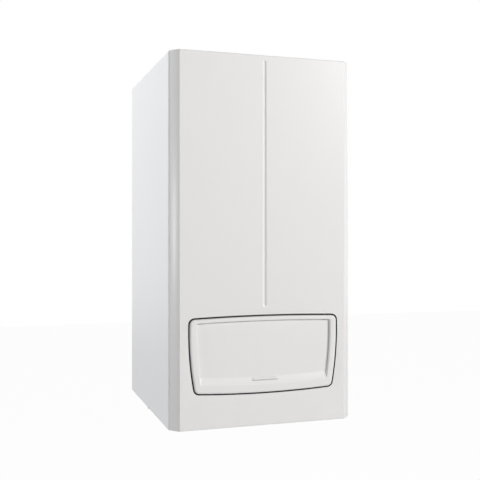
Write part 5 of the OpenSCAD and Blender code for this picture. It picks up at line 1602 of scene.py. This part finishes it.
for run, share in (
    (-1.2, 0),
    (-0.5, 0.015),
    (0.1, 0.05),
    (0.6, 0.11),
    (0.95, 0.2),
    (1.15, 0.34),
    (1.25, 0.5),
    (1.3, 0.7),
    (1.35, 0.9),
):
    slope = FOOT_RUN * (1 - (1 - share) ** CURVE)
    flap_rows.append((RIM + run, RIM_FOOT + slope + min(run, 0), front - PROUD + DISH * share))
for run, share in ((0, 0.6), (0.15, 1), (0.7, 1), (0.9, 0.5), (1, 0)):
    run *= GROOVE_WIDE
    foot_in = RIM_FOOT + FOOT_RUN + run
    flap_rows.append((RIM + GROOVE_IN + run, foot_in, floor_y + GROOVE * share))
# The rim is narrower at the head than at the sides, and its corners tighten towards the dish.
HEAD_NARROW, CORNER, LEAST_CORNER = 6, 12, 3.5
flap_loops = []
for side_in, foot_in, y in flap_rows:
    head_in = side_in - HEAD_NARROW if foot_in > side_in + 2 else side_in
    loop = []
    for p in shield(side_in, head_in, foot_in, max(CORNER - side_in, LEAST_CORNER)):
        # The groove runs out towards the foot of the dish.
        depth = min(max((p.y - flap_foot - GROOVE_START) / GROOVE_FADE, 0), 1)
        loop.append((p.x, y if y < floor_y else floor_y + (y - floor_y) * depth, p.y))
    flap_loops.append(loop)
flap_shape = joined(loft(flap_loops), flat_with_holes(flap_loops[-1]))
flap = built("flap_moulding", [flap_shape], flap_white, wall=WALL, sharp=50)
SLOT_HALF, SLOT_Z, SLOT_R, SLOT_DEPTH = 31, flap_foot + 28, 0.55, 1.7
slot_y = floor_y - DISH * (1 - (SLOT_Z - flap_foot - RIM_FOOT) / FOOT_RUN) ** (1 / CURVE)
slot = [[], []]
for side in (1, -1):
    for a in range(-90, 91, 30):
        x = side * (SLOT_HALF + SLOT_R * cos(radians(a)))
        z = SLOT_Z + side * SLOT_R * sin(radians(a))
        slot[0].append((x, front - 10, z))
        slot[1].append((x, slot_y + SLOT_DEPTH, z))
cut(flap, built("flap_slot", [loft(slot, caps=True)], flap_white))
seat(flap, "control_flap")

pin_low, pin_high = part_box("flap_pins")
pin_z = (pin_low.z + pin_high.z) * 500 - bottom
pin_y = (pin_low.y + pin_high.y) * 500
CHEEK_X, CHEEK, EYE, CHEEK_FRONT = 150, 2.5, 3.1, front - 2.6
outline = [(CHEEK_FRONT, pin_z + 3), (CHEEK_FRONT, pin_z - 2.3)]
for a in range(0, 120, 15):
    outline.append((pin_y + EYE * sin(radians(a)), pin_z - EYE * cos(radians(a))))
outline.append((pin_y + 2.2, pin_z + 3))
cheeks = []
for middle in (-CHEEK_X, CHEEK_X):
    for start in (middle - 6, middle + 3.5):
        sides = [[(x, y, z) for y, z in outline] for x in (start, start + CHEEK)]
        cheeks.append(loft(sides, caps=True))
beside(built("flap_cheeks", cheeks, flap_white, bevel=0.4), "control_flap")

LIP_HALF, LIP_FOOT, LIP_HEIGHT, LIP_OUT = 33, SLOT_Z + SLOT_R - 0.2, 7, 4.8
LIP_FADE, LIP_RISE, LIP_UNDER = 5, 0.6, 0.4
lip_rows = []
for i in range(33):
    x = -LIP_HALF + LIP_HALF * i / 16
    fade = min(1, (LIP_HALF - abs(x)) / LIP_FADE)
    fade = fade * fade * (3 - 2 * fade)
    row = [(x, floor_y - LIP_UNDER, LIP_FOOT)]
    for share in (0, 0.06, 0.14, 0.3, 0.5, 0.7, 0.86, 1):
        swell = (1 - share) ** 2 * (1 + 2 * share)
        rounding = 0.85 if share == 0 else 1
        y = floor_y + 0.05 - LIP_OUT * fade * swell * rounding
        row.append((x, y, LIP_FOOT + LIP_RISE * fade + LIP_HEIGHT * share))
    lip_rows.append(row)
lip = loft(lip_rows, closed=False)
beside(built("flap_finger_lip", [lip], flap_white, wall=0.9, sharp=60), "control_flap")

low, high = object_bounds()
boxes = {"cad": [list(cad_low), list(cad_high)], "visual": [list(low), list(high)]}
